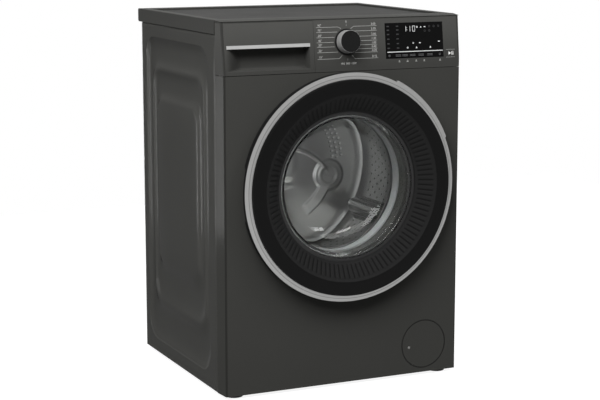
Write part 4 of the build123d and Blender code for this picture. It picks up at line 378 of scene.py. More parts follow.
finishes = {
    "body_paint": enamel("bodyEnamel", tint(58, 58, 56)),
    "fascia_plastic": moulded("fasciaMoulding", tint(69, 69, 67), 0.44, 0.012, 1300.0, 0.00002, fasciaPaintedShade),
    "worktop_plastic": moulded("worktopMoulding", tint(52, 52, 50), 0.48, 0.015, 700.0, 0.00006),
    "worktop_board": moulded("worktopLaminate", tint(45, 45, 44), 0.52, 0.012, 520.0, 0.00006),
    "silver": brushed("silverTrim", tint(168, 168, 167), (3.0, 1500.0, 1500.0), 0.4, 0.5),
    "black_gloss": moulded("pianoBlack", tint(10, 10, 10), 0.3, 0.06, 300.0, 0.000004),
    "black_plastic": moulded("blackMoulding", tint(20, 20, 20), 0.5, 0.07),
    "display_glass": moulded("displayPane", tint(6, 6, 6), 0.14, 0.06, 200.0, 0.000002),
    "door_glass": pressedGlass("pressedGlass"),
    "rubber_grey": rubber("gasketRubber", tint(46, 46, 45)),
    "rubber_black": rubber("blackRubber", tint(30, 30, 30)),
    "drum_steel": brushed("drumSteel", tint(196, 196, 195), (900.0, 4.0, 900.0), 0.26),
    "zinc_steel": spangled("zincSheet", tint(172, 173, 172)),
    "cast_alloy": grainy("castAlloy", tint(168, 169, 170), 0.45, 0.9, 120.0, 0.0001),
    "concrete": grainy("pouredConcrete", tint(150, 147, 140), 0.9, 0.0, 60.0, 0.0004),
    "white_plastic": moulded("whiteMoulding", tint(205, 205, 200), 0.45, 0.4, 1100.0),
    "tub_plastic": moulded("tubMoulding", tint(146, 147, 148), 0.55, 0.3, 420.0, 0.00008),
    "blue_plastic": moulded("blueMoulding", tint(48, 92, 156), 0.42, 0.4),
    "motor_iron": laminated("motorSheets", tint(110, 110, 112)),
    "board_green": lacqueredBoard("circuitBoard"),
    "brass_thread": brushed("turnedBrass", tint(188, 158, 96), (40.0, 1800.0, 40.0), 0.3),
}
ribCount = 104
# one drum steel in two tones, as painted shade and painted light: a darker copy on the wall, a lighter one on the
# back
wallSteelShaded = drumSheet("drumWallSteel", tint(146, 146, 145), "wall")
backSteelLit = drumSheet("drumBackSteel", tint(188, 188, 187), "back")
bezelGloss = bezelBlack("bezelBlack", tint(10, 10, 10), tint(26, 26, 26), ribCount)
ringSilver = ringLacquer("ringLacquer", tint(152, 152, 151))
printGrey = ink("dialPrint", tint(168, 168, 166))
glowWhite = ink("displayGlow", tint(190, 191, 191), 0.3)
glowDim = ink("displayDim", tint(36, 36, 37))
touchInk = ink("touchInk", tint(92, 92, 93))
keyInk = ink("keyInk", tint(225, 225, 223))
flapTone = enamel("flapMoulding", tint(58, 58, 56))
# a lighter copy of the body enamel on the side panels, as painted light
litSideTone = enamel("litSideEnamel", tint(64, 64, 62))
# the pip's light grey is a painted highlight in the finger dimple
pipHighlightTone = moulded("pipHighlightMoulding", tint(120, 120, 118), 0.45, 0.1)
for name, part in nodes.items():
    for slot in part.material_slots:
        slot.material = flapTone if name == "filter_flap" else finishes[slotOf[name]]
print("finishes:", len(bpy.data.materials))


# an object of the given data, linked into the scene
def putObject(name, data):
    made = bpy.data.objects.new(name, data)
    scene.collection.objects.link(made)
    return made


# the body that a piece rides on, and the nodes that it stands in for
def declare(piece, body, stands=()):
    if body:
        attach(piece, body)
    if stands:
        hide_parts(*stands)
    return piece


# points in mm and faces become a piece; doubles merge and faces turn outwards; where the sum of normal times area
# points away from a given way, all faces are turned over
def putMesh(name, surface, slot, body, stands=(), sharp=40, facing=None, finish=None):
    points, faces = surface
    mesh = bpy.data.meshes.new(name)
    mesh.from_pydata((points.reshape(-1, 3) / 1000).tolist(), [], faces.tolist())
    shell = bmesh.new()
    shell.from_mesh(mesh)
    bmesh.ops.remove_doubles(shell, verts=shell.verts, dist=2e-6)
    bmesh.ops.dissolve_degenerate(shell, edges=shell.edges, dist=1e-7)
    bmesh.ops.recalc_face_normals(shell, faces=shell.faces)
    shell.to_mesh(mesh)
    shell.free()
    if facing is not None:
        normal, area = np.empty(len(mesh.polygons) * 3), np.empty(len(mesh.polygons))
        mesh.polygons.foreach_get("normal", normal)
        mesh.polygons.foreach_get("area", area)
        if (normal.reshape(-1, 3) * area[:, None]).sum(0) @ np.array(facing) < 0:
            mesh.flip_normals()
    mesh.shade_smooth()
    mesh.set_sharp_from_angle(angle=radians(sharp))
    mesh.materials.append(finish or finishes[slot])
    return declare(putObject(name, mesh), body, stands)


# a sheet grows from its outer face inwards by its thickness
def thicken(piece, thick):
    wall = piece.modifiers.new("sheet", "SOLIDIFY")
    wall.thickness, wall.offset = thick / 1000, -1


# a grid of points gives quads; a closed way joins its last line to its first
def gridFaces(rows, columns, closedRows, closedColumns):
    index = np.arange(rows * columns).reshape(rows, columns)
    if closedRows:
        index = np.vstack((index, index[:1]))
    if closedColumns:
        index = np.hstack((index, index[:, :1]))
    return np.stack((index[:-1, :-1], index[1:, :-1], index[1:, 1:], index[:-1, 1:]), -1).reshape(-1, 4)


# the rings of a run in a row, its first and last ring closed on their middle
def closeEnds(rings):
    middle = rings.mean(1, keepdims=True) + 0 * rings
    return np.concatenate((middle[:1], rings, middle[-1:]))


# each corner of a closed outline becomes a curve (1 - t)^2 start + 2 t (1 - t) corner + t^2 end, whose ends lie
# at most cut from it
def softLoop(corners, cut, count):
    corner = np.array(corners, float)
    before, after = np.roll(corner, 1, 0) - corner, np.roll(corner, -1, 0) - corner
    back, ahead = np.linalg.norm(before, axis=1)[:, None], np.linalg.norm(after, axis=1)[:, None]
    start = (corner + before / back * np.minimum(cut, back * 0.45))[:, None]
    end = (corner + after / ahead * np.minimum(cut, ahead * 0.45))[:, None]
    t = np.linspace(0, 1, count)[None, :, None]
    curve = (1 - t) ** 2 * start + 2 * t * (1 - t) * corner[:, None] + t ** 2 * end
    return curve.reshape(-1, corner.shape[1])


# about a front to rear axis through x and z: x + radius cos(angle), the depth, z + radius sin(angle)
def around(radius, depth, angle, x=0.0, z=drumAxis):
    return np.stack(np.broadcast_arrays(x + radius * np.cos(angle), depth, z + radius * np.sin(angle)), -1)


# a closed outline of radius and depth is carried round such an axis; an opening leaves that angle free on both
# sides of its start
def turned(outline, steps, x=0.0, z=drumAxis, opening=0.0):
    angle = np.linspace(opening, tau - opening, steps, endpoint=opening > 0)[:, None]
    rings = around(outline[:, 0], outline[:, 1], angle, x, z)
    if opening:
        rings = closeEnds(rings)
    return rings, gridFaces(len(rings), len(outline), not opening, True)


# smooth step 3 v^2 - 2 v^3 of a value held between 0 and 1
def ease(value):
    value = np.clip(value, 0, 1)
    return value * value * (3 - 2 * value)


# side panels: three nested rounded rectangles with a hollow flute between each two, a flat border and a flat middle
sidePanel = {"face": 298.5, "y": (-204.0, 268.3), "z": (8.4, 817.7), "sheet": 1.1, "corner": 1.5,
             "fold": ((0.0, 8.8), (0.0, 2.0), (0.25, 1.0), (0.8, 0.3), (1.8, 0.0)),  # inset and depth of each loop
             "border": (0.3, 0.6, 0.85, 0.95, 0.98), "middle": (0.05, 0.5, 1.0), "middleEnd": 130.0,
             "flute": 8.0, "power": 3.0, "perFlute": 27, "ridge": 5,
             "contours": ((-160, 242, 42.3, 786.5, 52), (-128, 203, 144, 713.5, 46), (-89, 172, 244, 639.5, 40))}


# rounded rectangle: quarter circles at the corners joined by straight runs, all with the same count of points
def roundedLoop(y0, y1, z0, z1, corner, cornerCount=20, runCount=10):
    y0, y1, z0, z1 = y0 + corner, y1 - corner, z0 + corner, z1 - corner
    centre = np.array(((y1, z1), (y0, z1), (y0, z0), (y1, z0)))[:, None]
    angle = (np.arange(4) * pi / 2)[:, None] + np.linspace(0, pi / 2, cornerCount)
    arc = centre + corner * np.stack((np.cos(angle), np.sin(angle)), -1)
    share = np.linspace(0, 1, runCount + 2)[None, 1:-1, None]
    run = arc[:, -1:] * (1 - share) + np.roll(arc, -1, 0)[:, :1] * share
    return np.concatenate((arc, run), 1).reshape(-1, 2)


# loops run from the fold in to the middle; a flute's depth at share t of its width is d (1 - |2t - 1|^p),
# and a running mean over neighbouring loops rounds the ridges
def pressedPanel(side, name, stands):
    s = sidePanel
    (y0, y1), (z0, z1) = s["y"], s["z"]
    loops = [roundedLoop(y0 + inset, y1 - inset, z0 + inset, z1 - inset, max(s["corner"] - inset, 0.4))
             for inset, _ in s["fold"]]
    edge, first = loops[-1], roundedLoop(*s["contours"][0])
    loops += [edge * (1 - t) + first * t for t in s["border"]]
    across = np.linspace(0, 1, s["perFlute"])
    place = np.concatenate((across, 1 + across[1:]))
    sizes = [np.interp(place, range(3), column) for column in zip(*s["contours"])]
    loops += [roundedLoop(*size) for size in zip(*sizes)]
    flute = s["flute"] * (1 - np.abs(2 * across - 1) ** s["power"])
    beside = [0] * (s["ridge"] // 2)
    hollow = np.concatenate((beside, flute, flute[1:], beside))
    hollow = np.convolve(hollow, np.ones(s["ridge"]) / s["ridge"], "valid")
    y0, y1, z0, z1, _ = s["contours"][-1]
    last = loops[-1]
    height = np.clip(last[:, 1], z0 + s["middleEnd"], z1 - s["middleEnd"])
    middle = np.stack((np.full(len(last), (y0 + y1) / 2), height), -1)
    loops += [last * (1 - t) + middle * t for t in s["middle"]]
    flat = np.array(loops)
    fold = [depth for _, depth in s["fold"]]
    deep = np.concatenate((fold, np.zeros(len(s["border"])), hollow, np.zeros(len(s["middle"]))))[:, None]
    points = np.stack((side * (s["face"] - deep + 0 * flat[..., 0]), flat[..., 0], flat[..., 1]), -1)
    surface = points, gridFaces(*flat.shape[:2], False, True)
    panel = putMesh(name, surface, "body_paint", "cabinet", stands, 60, (side, 0, 0), litSideTone)
    thicken(panel, s["sheet"])
    return panel


leftSide = pressedPanel(-1, "pressedSideLeft", ("side_panel_left",))
pressedPanel(1, "pressedSideRight", ("side_panel_right",))
print("side panels pressed")

# door ring: two facets with a crease, and a black rim behind it, cut back at the hinge; the rim is partly the door's
# black side and partly painted shade in the gap behind the ring
doorRing = {"outline": ((259.6, -277.0), (261, -277.4), (260.9, -278.9), (253, -282.2), (246, -283.5),
                        (246, -280.9), (252.6, -279.6)),
            "rim": ((256.4, -259), (260.0, -259), (260.6, -260), (260.8, -277.2), (259.6, -276.8), (257.0, -276.0)),
            "notchHalf": 58.0, "notchY": -267.5, "steps": 288, "soften": (0.8, 0.5)}
ringLoop = softLoop(doorRing["outline"], doorRing["soften"][0], 4)
rimLoop = softLoop(doorRing["rim"], doorRing["soften"][1], 3)
putMesh("ringFacets", turned(ringLoop, doorRing["steps"]), "silver", "door", ("door_ring",), 3, finish=ringSilver)
rimPoints, rimFaces = turned(rimLoop, doorRing["steps"])
atHinge = (rimPoints[..., 0] < 0) & (np.abs(rimPoints[..., 2] - drumAxis) < doorRing["notchHalf"])
rimPoints[..., 1] = np.where(atHinge, np.minimum(rimPoints[..., 1], doorRing["notchY"]), rimPoints[..., 1])
# the black rim is partly painted shade for the gap behind the ring
putMesh("doorRim", (rimPoints, rimFaces), "black_plastic", "door", sharp=35)

# grip on the ring's upper right, from one angle to another in degrees
grip = {"raised": ((257.8, -270.2), (265.4, -270.2), (265.4, -276.2), (264.2, -277.9), (254.2, -282.1),
                   (253.6, -280.4)),
        "flush": ((257.8, -276.4), (260.4, -277.4), (260.6, -277.8), (260.2, -278.6), (254.2, -281.2),
                  (253.6, -280.4)),
        "from": 22.5, "to": 64.5, "blend": 0.7, "steps": 90, "endShare": 0.025, "endSteps": 8}


# the grip's outline is the ring's own at each end and passes to the raised one by a smooth step of the angle
def gripRail():
    raised, flush = softLoop(grip["raised"], 1.0, 4), softLoop(grip["flush"], 0.2, 4)
    end = np.linspace(0, grip["endShare"], grip["endSteps"])
    run = np.unique(np.concatenate((np.linspace(0, 1, grip["steps"]), end, 1 - end)))
    span = grip["to"] - grip["from"]
    rise = ease(np.minimum(run, 1 - run) * span / grip["blend"])[:, None, None]
    outline = flush * (1 - rise) + raised * rise
    angle = np.radians(grip["from"] + span * run)[:, None]
    rings = closeEnds(around(outline[..., 0], outline[..., 1], angle))
    return rings, gridFaces(*rings.shape[:2], False, True)


putMesh("ringGrip", gripRail(), "silver", "door", sharp=25, finish=ringSilver)

# bezel: flat black ring, then a funnel whose front carries fine radial ribs
bezel = {"rim": ((214.2, -290.6), (216.5, -291), (243.5, -291), (245.7, -289.75), (245.7, -283.5), (243.2, -283.5),
                 (243.2, -288.5), (217, -288.5), (177, -261.2), (177, -258), (172, -258), (172, -261.6)),
         "funnel": ((172.4, -262.2), (213.2, -289.9)), "lines": 26, "reach": (0.12, 0.88), "runOut": 0.05,
         "ribHeight": 1.1, "perRib": 10, "steep": 2.2, "land": 0.55}


# the funnel's line is pushed along its normal by h (1 + tanh(s (cos(ribs a) + w))) / 2, a square wave of the angle
# with rounded flanks and wide lands
def ribbedBezel():
    low, high = np.array(bezel["funnel"])
    t = np.linspace(0, 1, bezel["lines"])
    start, end = bezel["reach"]
    window = ease((t - start) / bezel["runOut"]) * ease((end - t) / bezel["runOut"])
    rest = softLoop(bezel["rim"], 0.9, 4)
    outline = np.concatenate((low * (1 - t[:, None]) + high * t[:, None], rest))
    window = np.concatenate((window, np.zeros(len(rest))))
    along = (high - low) / np.linalg.norm(high - low)
    steps = ribCount * bezel["perRib"]
    angle = np.linspace(0, tau, steps, endpoint=False)[:, None]
    wave = 0.5 + 0.5 * np.tanh(bezel["steep"] * (np.cos(ribCount * angle) + bezel["land"]))
    lift = bezel["ribHeight"] * window * wave
    rings = around(outline[:, 0] + along[1] * lift, outline[:, 1] - along[0] * lift, angle)
    return rings, gridFaces(steps, len(outline), True, True)


putMesh("ribbedBezel", ribbedBezel(), "black_gloss", "door", ("door_bezel",), 30, finish=bezelGloss)

# glass: a flange, a curve from its front into the bowl, and a bowl with an even wall
glass = {"flange": 180.0, "flangeY": (-258.0, -254.0), "foot": ((162.0, -254.0), (160.0, -252.5)),
         "lip": 160.5, "lipY": -248.0, "lipFrom": 0.1, "lipLines": 6,
         "radius": 158.0, "depth": 98.0, "wall": 4.0, "power": 3.2, "lines": 44, "steps": 192,
         "seal": ((165.0, -259.0), (171.9, -259.4), (171.9, -258.05), (165.0, -258.05))}


# the bowl's section is a superellipse, R cos(t)^(2/p) by D sin(t)^(2/p), and a wall less on its inside;
# a quarter ellipse leads from the inside to the flange
def glassBowl():
    g = glass
    t, power = np.linspace(0, pi / 2, g["lines"]), 2 / g["power"]
    bow = np.stack((np.cos(t) ** power, np.sin(t) ** power), -1)
    outer, inner = (bow * (g["radius"] - less, g["depth"] - less) + (0, frontY) for less in (0, g["wall"]))
    bend, (front, back) = np.linspace(g["lipFrom"], pi / 2, g["lipLines"]), g["flangeY"]
    lead = np.stack((g["lip"] - (g["lip"] - g["radius"] + g["wall"]) * np.cos(bend),
                     g["lipY"] + (front - g["lipY"]) * np.sin(bend)), -1)
    flange = ((g["flange"], front), (g["flange"], back), *g["foot"])
    return np.concatenate((lead, flange, outer, inner[::-1]))


bowl = putMesh("glassBowl", turned(glassBowl(), glass["steps"]), "door_glass", "door", ("door_glass",), 45)
putMesh("glassSeal", turned(softLoop(glass["seal"], 0.3, 3), glass["steps"]), "rubber_black", "door")
print("door: ring, grip, bezel, glass")

# gasket: rubber bellows between the collar and the tub's mouth
gasket = {"outline": ((177.6, -244.7), (177.6, -232), (180.6, -227.5), (185.5, -224.5), (185.5, -209), (179, -203),
                      (171.6, -195), (171.6, -179.1), (168.4, -179.1), (168.4, -196.6), (176, -205.5),
                      (182.2, -210.6), (182.2, -223.2), (177.2, -227), (174.3, -232), (160, -235.2),
                      (159.8, -238.6), (174, -236.4), (174.3, -244.7)),
          "steps": 180, "soften": 3.0}
folds = turned(softLoop(gasket["outline"], gasket["soften"], 6), gasket["steps"])
bellows = putMesh("gasketBellows", folds, "rubber_grey", None, ("door_gasket",), 50)
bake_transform(bellows)

# drum wall: rolled sheet with its front plate and the rolled lip of the mouth
drumWall = {"outline": ((162, -165.4), (162.6, -166), (163.2, -165.4), (163.2, -160), (165.4, -158), (234, -158),
                        (238, -154), (238, 135), (236.8, 135), (236.8, -153.4), (233.4, -156.8), (163.8, -156.8),
                        (162, -158.8)),
            "steps": 240, "soften": 0.9}
rolled = turned(softLoop(drumWall["outline"], drumWall["soften"], 3), drumWall["steps"])
putMesh("drumWall", rolled, "drum_steel", "drum", ("drum_shell",), 35, finish=wallSteelShaded)

# drum back: three bolt bosses, each with a ridge curving in past the hub and a band along the bolt circle
drumBack = {"radius": 236.6, "y": 134.9, "sheet": 1.0, "rings": ((0, 60, 22), (62, 236.6, 92)), "around": 360,
            "bolt": 146.0, "first": -15.0, "most": 12.3,
            "boss": {"radius": 34, "high": 3.6, "soft": 10}, "bossRing": {"radius": 24, "wide": 5.0, "high": 1.8},
            "ridge": {"wide": 5.5, "high": 4.6, "dip": 86.0, "start": 0.2, "end": 1.5, "fade": 0.5},
            "band": {"half": 11.0, "high": 4.0, "soft": 5, "turn": 46.0, "fade": 0.12},
            "hub": {"top": 36, "foot": 60, "high": 5.0}, "fillet": {"from": 206.0, "high": 7.0}}


# heights add up: the highest of hub dome, bosses with their rings and band on the bolt circle, then a ridge
# where r = bolt - dip sin(1.5 a), and a fillet at the wall that grows with the square of the radius
def pressedBack():
    d = drumBack
    boss, ring, ridge, band, hub, fillet = (d[key] for key in ("boss", "bossRing", "ridge", "band", "hub", "fillet"))
    radius = np.concatenate([np.linspace(*run) for run in d["rings"]])[:, None]
    angle = np.linspace(0, tau, d["around"], endpoint=False)[None]
    sector = (angle - radians(d["first"])) % (tau / 3)
    toBoss = np.minimum(*[np.hypot(radius * np.cos(turn) - d["bolt"], radius * np.sin(turn))
                          for turn in (sector, sector - tau / 3)])
    bosses = boss["high"] * (1 - ease((toBoss - boss["radius"]) / boss["soft"]))
    bosses += ring["high"] * np.exp(-((toBoss - ring["radius"]) / ring["wide"]) ** 2)
    line = d["bolt"] - ridge["dip"] * np.sin(1.5 * sector)
    fade = ease(sector / ridge["start"]) * ease((ridge["end"] - sector) / ridge["fade"])
    ridges = ridge["high"] * np.exp(-((radius - line) / ridge["wide"]) ** 2) * fade
    bands = band["high"] * (1 - ease((np.abs(radius - d["bolt"]) - band["half"]) / band["soft"]))
    bands = bands * ease((sector - tau / 3 + radians(band["turn"])) / band["fade"])
    dome = hub["high"] * (1 - ease((radius - hub["top"]) / (hub["foot"] - hub["top"])))
    rise = fillet["high"] * np.clip((radius - fillet["from"]) / (d["radius"] - fillet["from"]), 0, 1) ** 2
    lift = np.minimum(np.maximum(np.maximum(bosses, bands), dome) + ridges + rise, d["most"])
    rings = around(radius, d["y"] - d["sheet"] - lift, angle)
    return rings, gridFaces(*rings.shape[:2], False, True)


back = putMesh("drumBackPressed", pressedBack(), "drum_steel", "drum", ("drum_back",), 60, (0, -1, 0), backSteelLit)
thicken(back, drumBack["sheet"])

# lifters: three rounded ridges along the drum, tapered at both ends and closed along the drum's wall
lifter = {"angles": (90, 210, 330), "y": (-134.0, 111.0), "half": 30.0, "rise": 38.0, "taper": 34.0, "across": 22,
          "along": 40, "power": (2.4, 1.1), "endWidth": 0.55, "bend": 236.0, "foot": 236.3}


# the height across is rise (1 - |u|^p)^q; width and height shrink with the root of a smooth step towards each end
def drumLifters():
    flank, crown = lifter["power"]
    u = np.linspace(-1, 1, lifter["across"])
    over, under = np.stack((u, (1 - np.abs(u) ** flank) ** crown), -1), np.stack((u[::-1], 0 * u), -1)
    loop = np.concatenate((over, under[1:-1]))
    (front, rear), narrow = lifter["y"], lifter["endWidth"]
    y = np.linspace(front, rear, lifter["along"])[:, None]
    grow = np.sqrt(ease(np.minimum(y - front, rear - y) / lifter["taper"]))
    tangent = lifter["half"] * loop[:, 0] * (narrow + (1 - narrow) * grow)
    turn = np.radians(lifter["angles"])[:, None, None] + tangent / lifter["bend"]
    points = around(lifter["foot"] - lifter["rise"] * loop[:, 1] * grow, y, turn)
    faces = gridFaces(*points.shape[1:3], False, True)
    count = points.shape[1] * points.shape[2]
    return points, np.concatenate([faces + count * step for step in range(len(points))])


putMesh("ridgedLifters", drumLifters(), "drum_steel", "drum", ("drum_lifters",), 50)
print("drum and gasket")

# fascia: it leans back, so a place on it is across, height and distance out from the face
fascia = {"seamZ": 729.0, "lean": atan(14.5 / 117.0)}


# the face lies deeper by tan(lean) for each mm above the seam; out goes along its normal, (0, -cos(lean), sin(lean))
def onFace(across, height, out):
    lean = fascia["lean"]
    across, height, out = np.broadcast_arrays(*[np.asarray(v, float) for v in (across, height, out)])
    depth = frontY + (height - fascia["seamZ"]) * np.tan(lean)
    return np.stack((across, depth - out * cos(lean), height + out * sin(lean)), -1)


# drawer front: flat face with a grip scooped out under the bar, fading at its left end
drawer = {"x": (-291.0, -75.2), "z": (730.3, 843.8), "scoopX": (-287.0, -86.0), "scoopZ": (738.0, 787.6),
          "deep": 26.5, "power": 30, "fade": 46.0, "end": 1.4, "fold": 21.0, "wall": 2.0, "lines": (60, 26, 36, 34),
          "nearRight": (-1.6, -1.2, -0.8, -0.4, 0), "nearFoot": (0.05, 0.2, 0.5, 1, 2, 3),
          "nearTop": (-0.6, -0.3, 0, 0.3)}


# the scoop's depth is deep sqrt(1 - t^p), where t is 0 at its top and 1 at its foot, times a smooth rise from
# each end; the outermost lines are the fold
def scoopedFront():
    d = drawer
    (left, right), (foot, top) = d["scoopX"], d["scoopZ"]
    wide, fading, high, scooped = d["lines"]
    x = np.unique(np.concatenate((np.linspace(*d["x"], wide), np.linspace(left, left + d["fade"], fading),
                                  right + np.array(d["nearRight"]))))
    z = np.unique(np.concatenate((np.linspace(*d["z"], high), np.linspace(foot, top, scooped),
                                  foot + np.array(d["nearFoot"]), top + np.array(d["nearTop"]))))
    x, z = np.concatenate((x[:1], x, x[-1:])), np.concatenate((z[:1], z, z[-1:]))
    t = np.clip((top - z) / (top - foot), 0, 1)
    profile = np.where(z > top - 0.05, 0, np.sqrt(1 - t ** d["power"]))
    width = ease((x - left) / d["fade"]) * ease((right - x) / d["end"])
    depth = d["deep"] * profile[:, None] * width[None]
    depth[[0, -1]], depth[:, [0, -1]] = d["fold"], d["fold"]
    points = onFace(x[None] + 0 * depth, z[:, None] + 0 * depth, 0.0)
    points[..., 1] += depth
    return points, gridFaces(*depth.shape, False, False)


scooped = putMesh("scoopedDrawer", scoopedFront(), "fascia_plastic", "drawer", ("drawer_front",), 40, (0, -1, 0))
thicken(scooped, drawer["wall"])

# knob: black skirt, and a silver side with fine flutes
knob = {"x": 6.0, "z": 795.0, "skirt": ((0, 0.4), (29.4, 0.4), (29.4, 1.5), (27.4, 2.5), (0, 2.5)), "soften": 0.4,
        "side": ((0, 2.5), (26, 2.5), (24.9, 21.6), (24.4, 22.0), (24.3, 21.3), (0, 21.3)),
        "sideRun": ((25.95, 3.2), (24.95, 21.0), 12), "fluted": (20, 4, 20), "flutes": 72, "fluteDepth": 0.35,
        "perFlute": 6, "skirtSteps": 144}


# an outline of radius and height is turned about the fascia's normal: r cos(a) across and r sin(a) up the face;
# a flute takes d (1 - cos(flutes a)) / 2 off the radius
def turnedOnFace(outline, steps, fluteDepth=0.0):
    angle = np.linspace(0, tau, steps, endpoint=False)[:, None]
    radius, height = outline[:, 0], outline[:, 1]
    beyond, low, high = knob["fluted"]
    onSide = (radius > beyond) & (height > low) & (height < high)
    radius = (radius - fluteDepth * (0.5 - 0.5 * np.cos(knob["flutes"] * angle)) * onSide)[..., None]
    upFace = np.array((0, sin(fascia["lean"]), cos(fascia["lean"])))
    middle = onFace(knob["x"], knob["z"], height + 0 * angle)
    points = middle + radius * np.cos(angle)[..., None] * (1, 0, 0) + radius * np.sin(angle)[..., None] * upFace
    return points, gridFaces(steps, len(outline), True, True)


skirtLoop, sideLoop = softLoop(knob["skirt"], knob["soften"], 3), softLoop(knob["side"], knob["soften"], 3)
sideLoop = np.concatenate((sideLoop[:6], np.linspace(*knob["sideRun"]), sideLoop[6:]))  # more points for the flutes
skirt = turnedOnFace(skirtLoop, knob["skirtSteps"])
putMesh("knobSkirt", skirt, "black_plastic", "knob", ("programme_knob",), 30)
fluted = turnedOnFace(sideLoop, knob["flutes"] * knob["perFlute"], knob["fluteDepth"])
putMesh("knobSide", fluted, "silver", "knob", ("programme_knob",), 40)


# flat shapes for print, each as points and faces in the plane
# a bar has half its width on each side of the line between two ends
def bar(x0, z0, x1, z1, width):
    ends = np.array(((x0, z0), (x1, z1)), float)
    run = ends[1] - ends[0]
    side = np.array((-run[1], run[0])) / np.linalg.norm(run) * width / 2
    return np.array((ends[0] - side, ends[1] - side, ends[1] + side, ends[0] + side)), [[0, 1, 2, 3]]


# an arc has points at both radii along rays of even angles
def arc(x, z, inner, outer, count=28):
    angle = np.linspace(0, tau, count)
    ray = np.stack((np.cos(angle), np.sin(angle)), -1)
    points = np.concatenate((ray * inner, ray * outer)) + np.array((x, z))
    first = np.arange(count - 1)
    return points, np.stack((first, first + count, first + count + 1, first + 1), -1).tolist()


# a shape is one face through its corners
def shape(*corners):
    return np.array(corners, float), [list(range(len(corners)))]


# a curve is made a mesh for a moment, and its points and faces are read
def meshOf(name, curve):
    holder = putObject(name, curve)
    mesh = bpy.data.meshes.new_from_object(holder)
    place = np.empty(len(mesh.vertices) * 3)
    mesh.vertices.foreach_get("co", place)
    faces = [list(face.vertices) for face in mesh.polygons]
    bpy.data.objects.remove(holder)
    bpy.data.meshes.remove(mesh)
    return place.reshape(-1, 3), faces


# plain figures from Blender's own font, centred on a place
def figures(text, x, z, size):
    curve = bpy.data.curves.new("figures", "FONT")
    curve.body, curve.size, curve.resolution_u = text, size, 3
    curve.align_x, curve.align_y = "CENTER", "CENTER"
    place, faces = meshOf("figures", curve)
    return place[:, :2] + np.array((x, z)), faces


# seven bar figure: bars between the corners of two stacked squares, half as wide as the figure is high
def litFigure(x, z, height, bars):
    wide, half = height * 0.5, height / 2
    ends = {"a": (0, height, wide, height), "b": (wide, half, wide, height), "c": (wide, 0, wide, half),
            "d": (0, 0, wide, 0), "e": (0, 0, 0, half), "f": (0, half, 0, height)}
    return [bar(x + x0, z + z0, x + x1, z + z1, height * 0.085) for x0, z0, x1, z1 in (ends[b] for b in bars)]


# the shapes of one print lie together on the face as one sheet; faces that look inwards are turned
def printed(name, shapes, finish, body="cabinet", out=0.08):
    faces, count = [], 0
    for flat, some in shapes:
        faces += [[corner + count for corner in face] for face in some]
        count += len(flat)
    flat = np.concatenate([flat for flat, _ in shapes])
    mesh = bpy.data.meshes.new(name)
    mesh.from_pydata((onFace(flat[:, 0], flat[:, 1], out) / 1000).tolist(), [], faces)
    normal = np.empty(len(faces) * 3)
    mesh.polygons.foreach_get("normal", normal)
    shell = bmesh.new()
    shell.from_mesh(mesh)
    shell.faces.ensure_lookup_table()
    wrong = np.flatnonzero(normal.reshape(-1, 3)[:, 1] > 0)
    bmesh.ops.reverse_faces(shell, faces=[shell.faces[i] for i in wrong])
    shell.to_mesh(mesh)
    shell.free()
    mesh.materials.append(finish)
    declare(putObject(name, mesh), body)


dial = {"left": ((828.6, "90°"), (817.5, "75°"), (806, "60°"), (795, "40°"), (785, "30°"),
                 (773, "20°"), (758.5, "15°")),
        "right": ((829, "3:00"), (818.5, "2:30"), (806.5, "2:00"), (796.6, "1:30"), (787.3, "1:00"), (778.7, "0:45"),
                  (770.5, "0:30"), (757, "0:15")),
        "ends": (-68.0, 83.5), "inner": 31.5, "level": 27, "bend": (19.5, 12.0), "line": 0.6, "figure": 7.0,
        "figureAt": (8.5, 4.0), "off": (1, 839.5, 830, 834), "speeds": (3, 746.8, 754, 758), "speedSize": 0.9}


# lead lines run level under the figures, up to a circle round the knob; the outer ones bend towards the knob
def dialPrint():
    shapes, line, size, (outX, outZ) = [], dial["line"], dial["figure"], dial["figureAt"]
    for side, rows, end in ((-1, dial["left"], dial["ends"][0]), (1, dial["right"], dial["ends"][1])):
        for z, text in rows:
            drop = z - knob["z"]
            if abs(drop) > dial["level"]:
                bend, tip = (knob["x"] + side * reach for reach in dial["bend"])
                rise = np.sign(drop) * np.sqrt(dial["inner"] ** 2 - dial["bend"][1] ** 2)
                shapes += [bar(end, z, bend, z, line), bar(bend, z, tip, knob["z"] + rise, line)]
            else:
                shapes.append(bar(end, z, knob["x"] + side * np.sqrt(dial["inner"] ** 2 - drop ** 2), z, line))
            shapes.append(figures(text, end - side * outX, z + outZ, size))
    tickX = knob["x"] + dial["off"][0]
    for key, text, share in (("off", "0", 1), ("speeds", "400  800  1200", dial["speedSize"])):
        x, z, low, high = dial[key]
        shapes += [figures(text, knob["x"] + x, z, size * share), bar(tickX, low, tickX, high, line)]
    return shapes


printed("dialLines", dialPrint(), printGrey)
print("knob and dial")

# display: lit figures, small generic marks, a line and the touch keys under it
display = {"figures": ((152, "bc"), (163, "bc"), (175.5, "abcdef")), "figureZ": 813.5, "figure": 12.0,
           "colon": (160.5, ((816.5, 818), (821, 822.5)), 1.3), "line": (108, 252.5, 768.2, 1.5),
           "lit": ((187, 823, 2.2), (197, 823, 2.0), (207, 823, 2.0), (161, 777, 2.0), (184, 777, 2.4),
                   (193, 787, 2.0), (176, 787, 1.8), (220, 777, 2.2), (243, 789, 2.2)),
           "dimX": (112, 136), "dimZ": (826, 817.5, 808, 797.5, 787, 777), "dimBar": (3, 2.4),
           "dimRings": ((219, 824), (231, 824), (243, 824), (207, 814), (219, 814)), "dimRing": (1.4, 2.4),
           "keysX": (113, 136, 153, 173, 195, 218, 244), "keysZ": 760.0, "keyBar": (7, 1.4, 0.8),
           "keyRing": (1.6, 2.3)}


# ring, triangle and bar by turns, as wide as twice the size
def litMark(turn, x, z, size):
    if turn == 0:
        return arc(x, z, size * 0.5, size)
    if turn == 1:
        return shape((x - size, z - size * 0.8), (x + size, z - size * 0.8), (x, z + size))
    return bar(x - size, z, x + size, z, size)


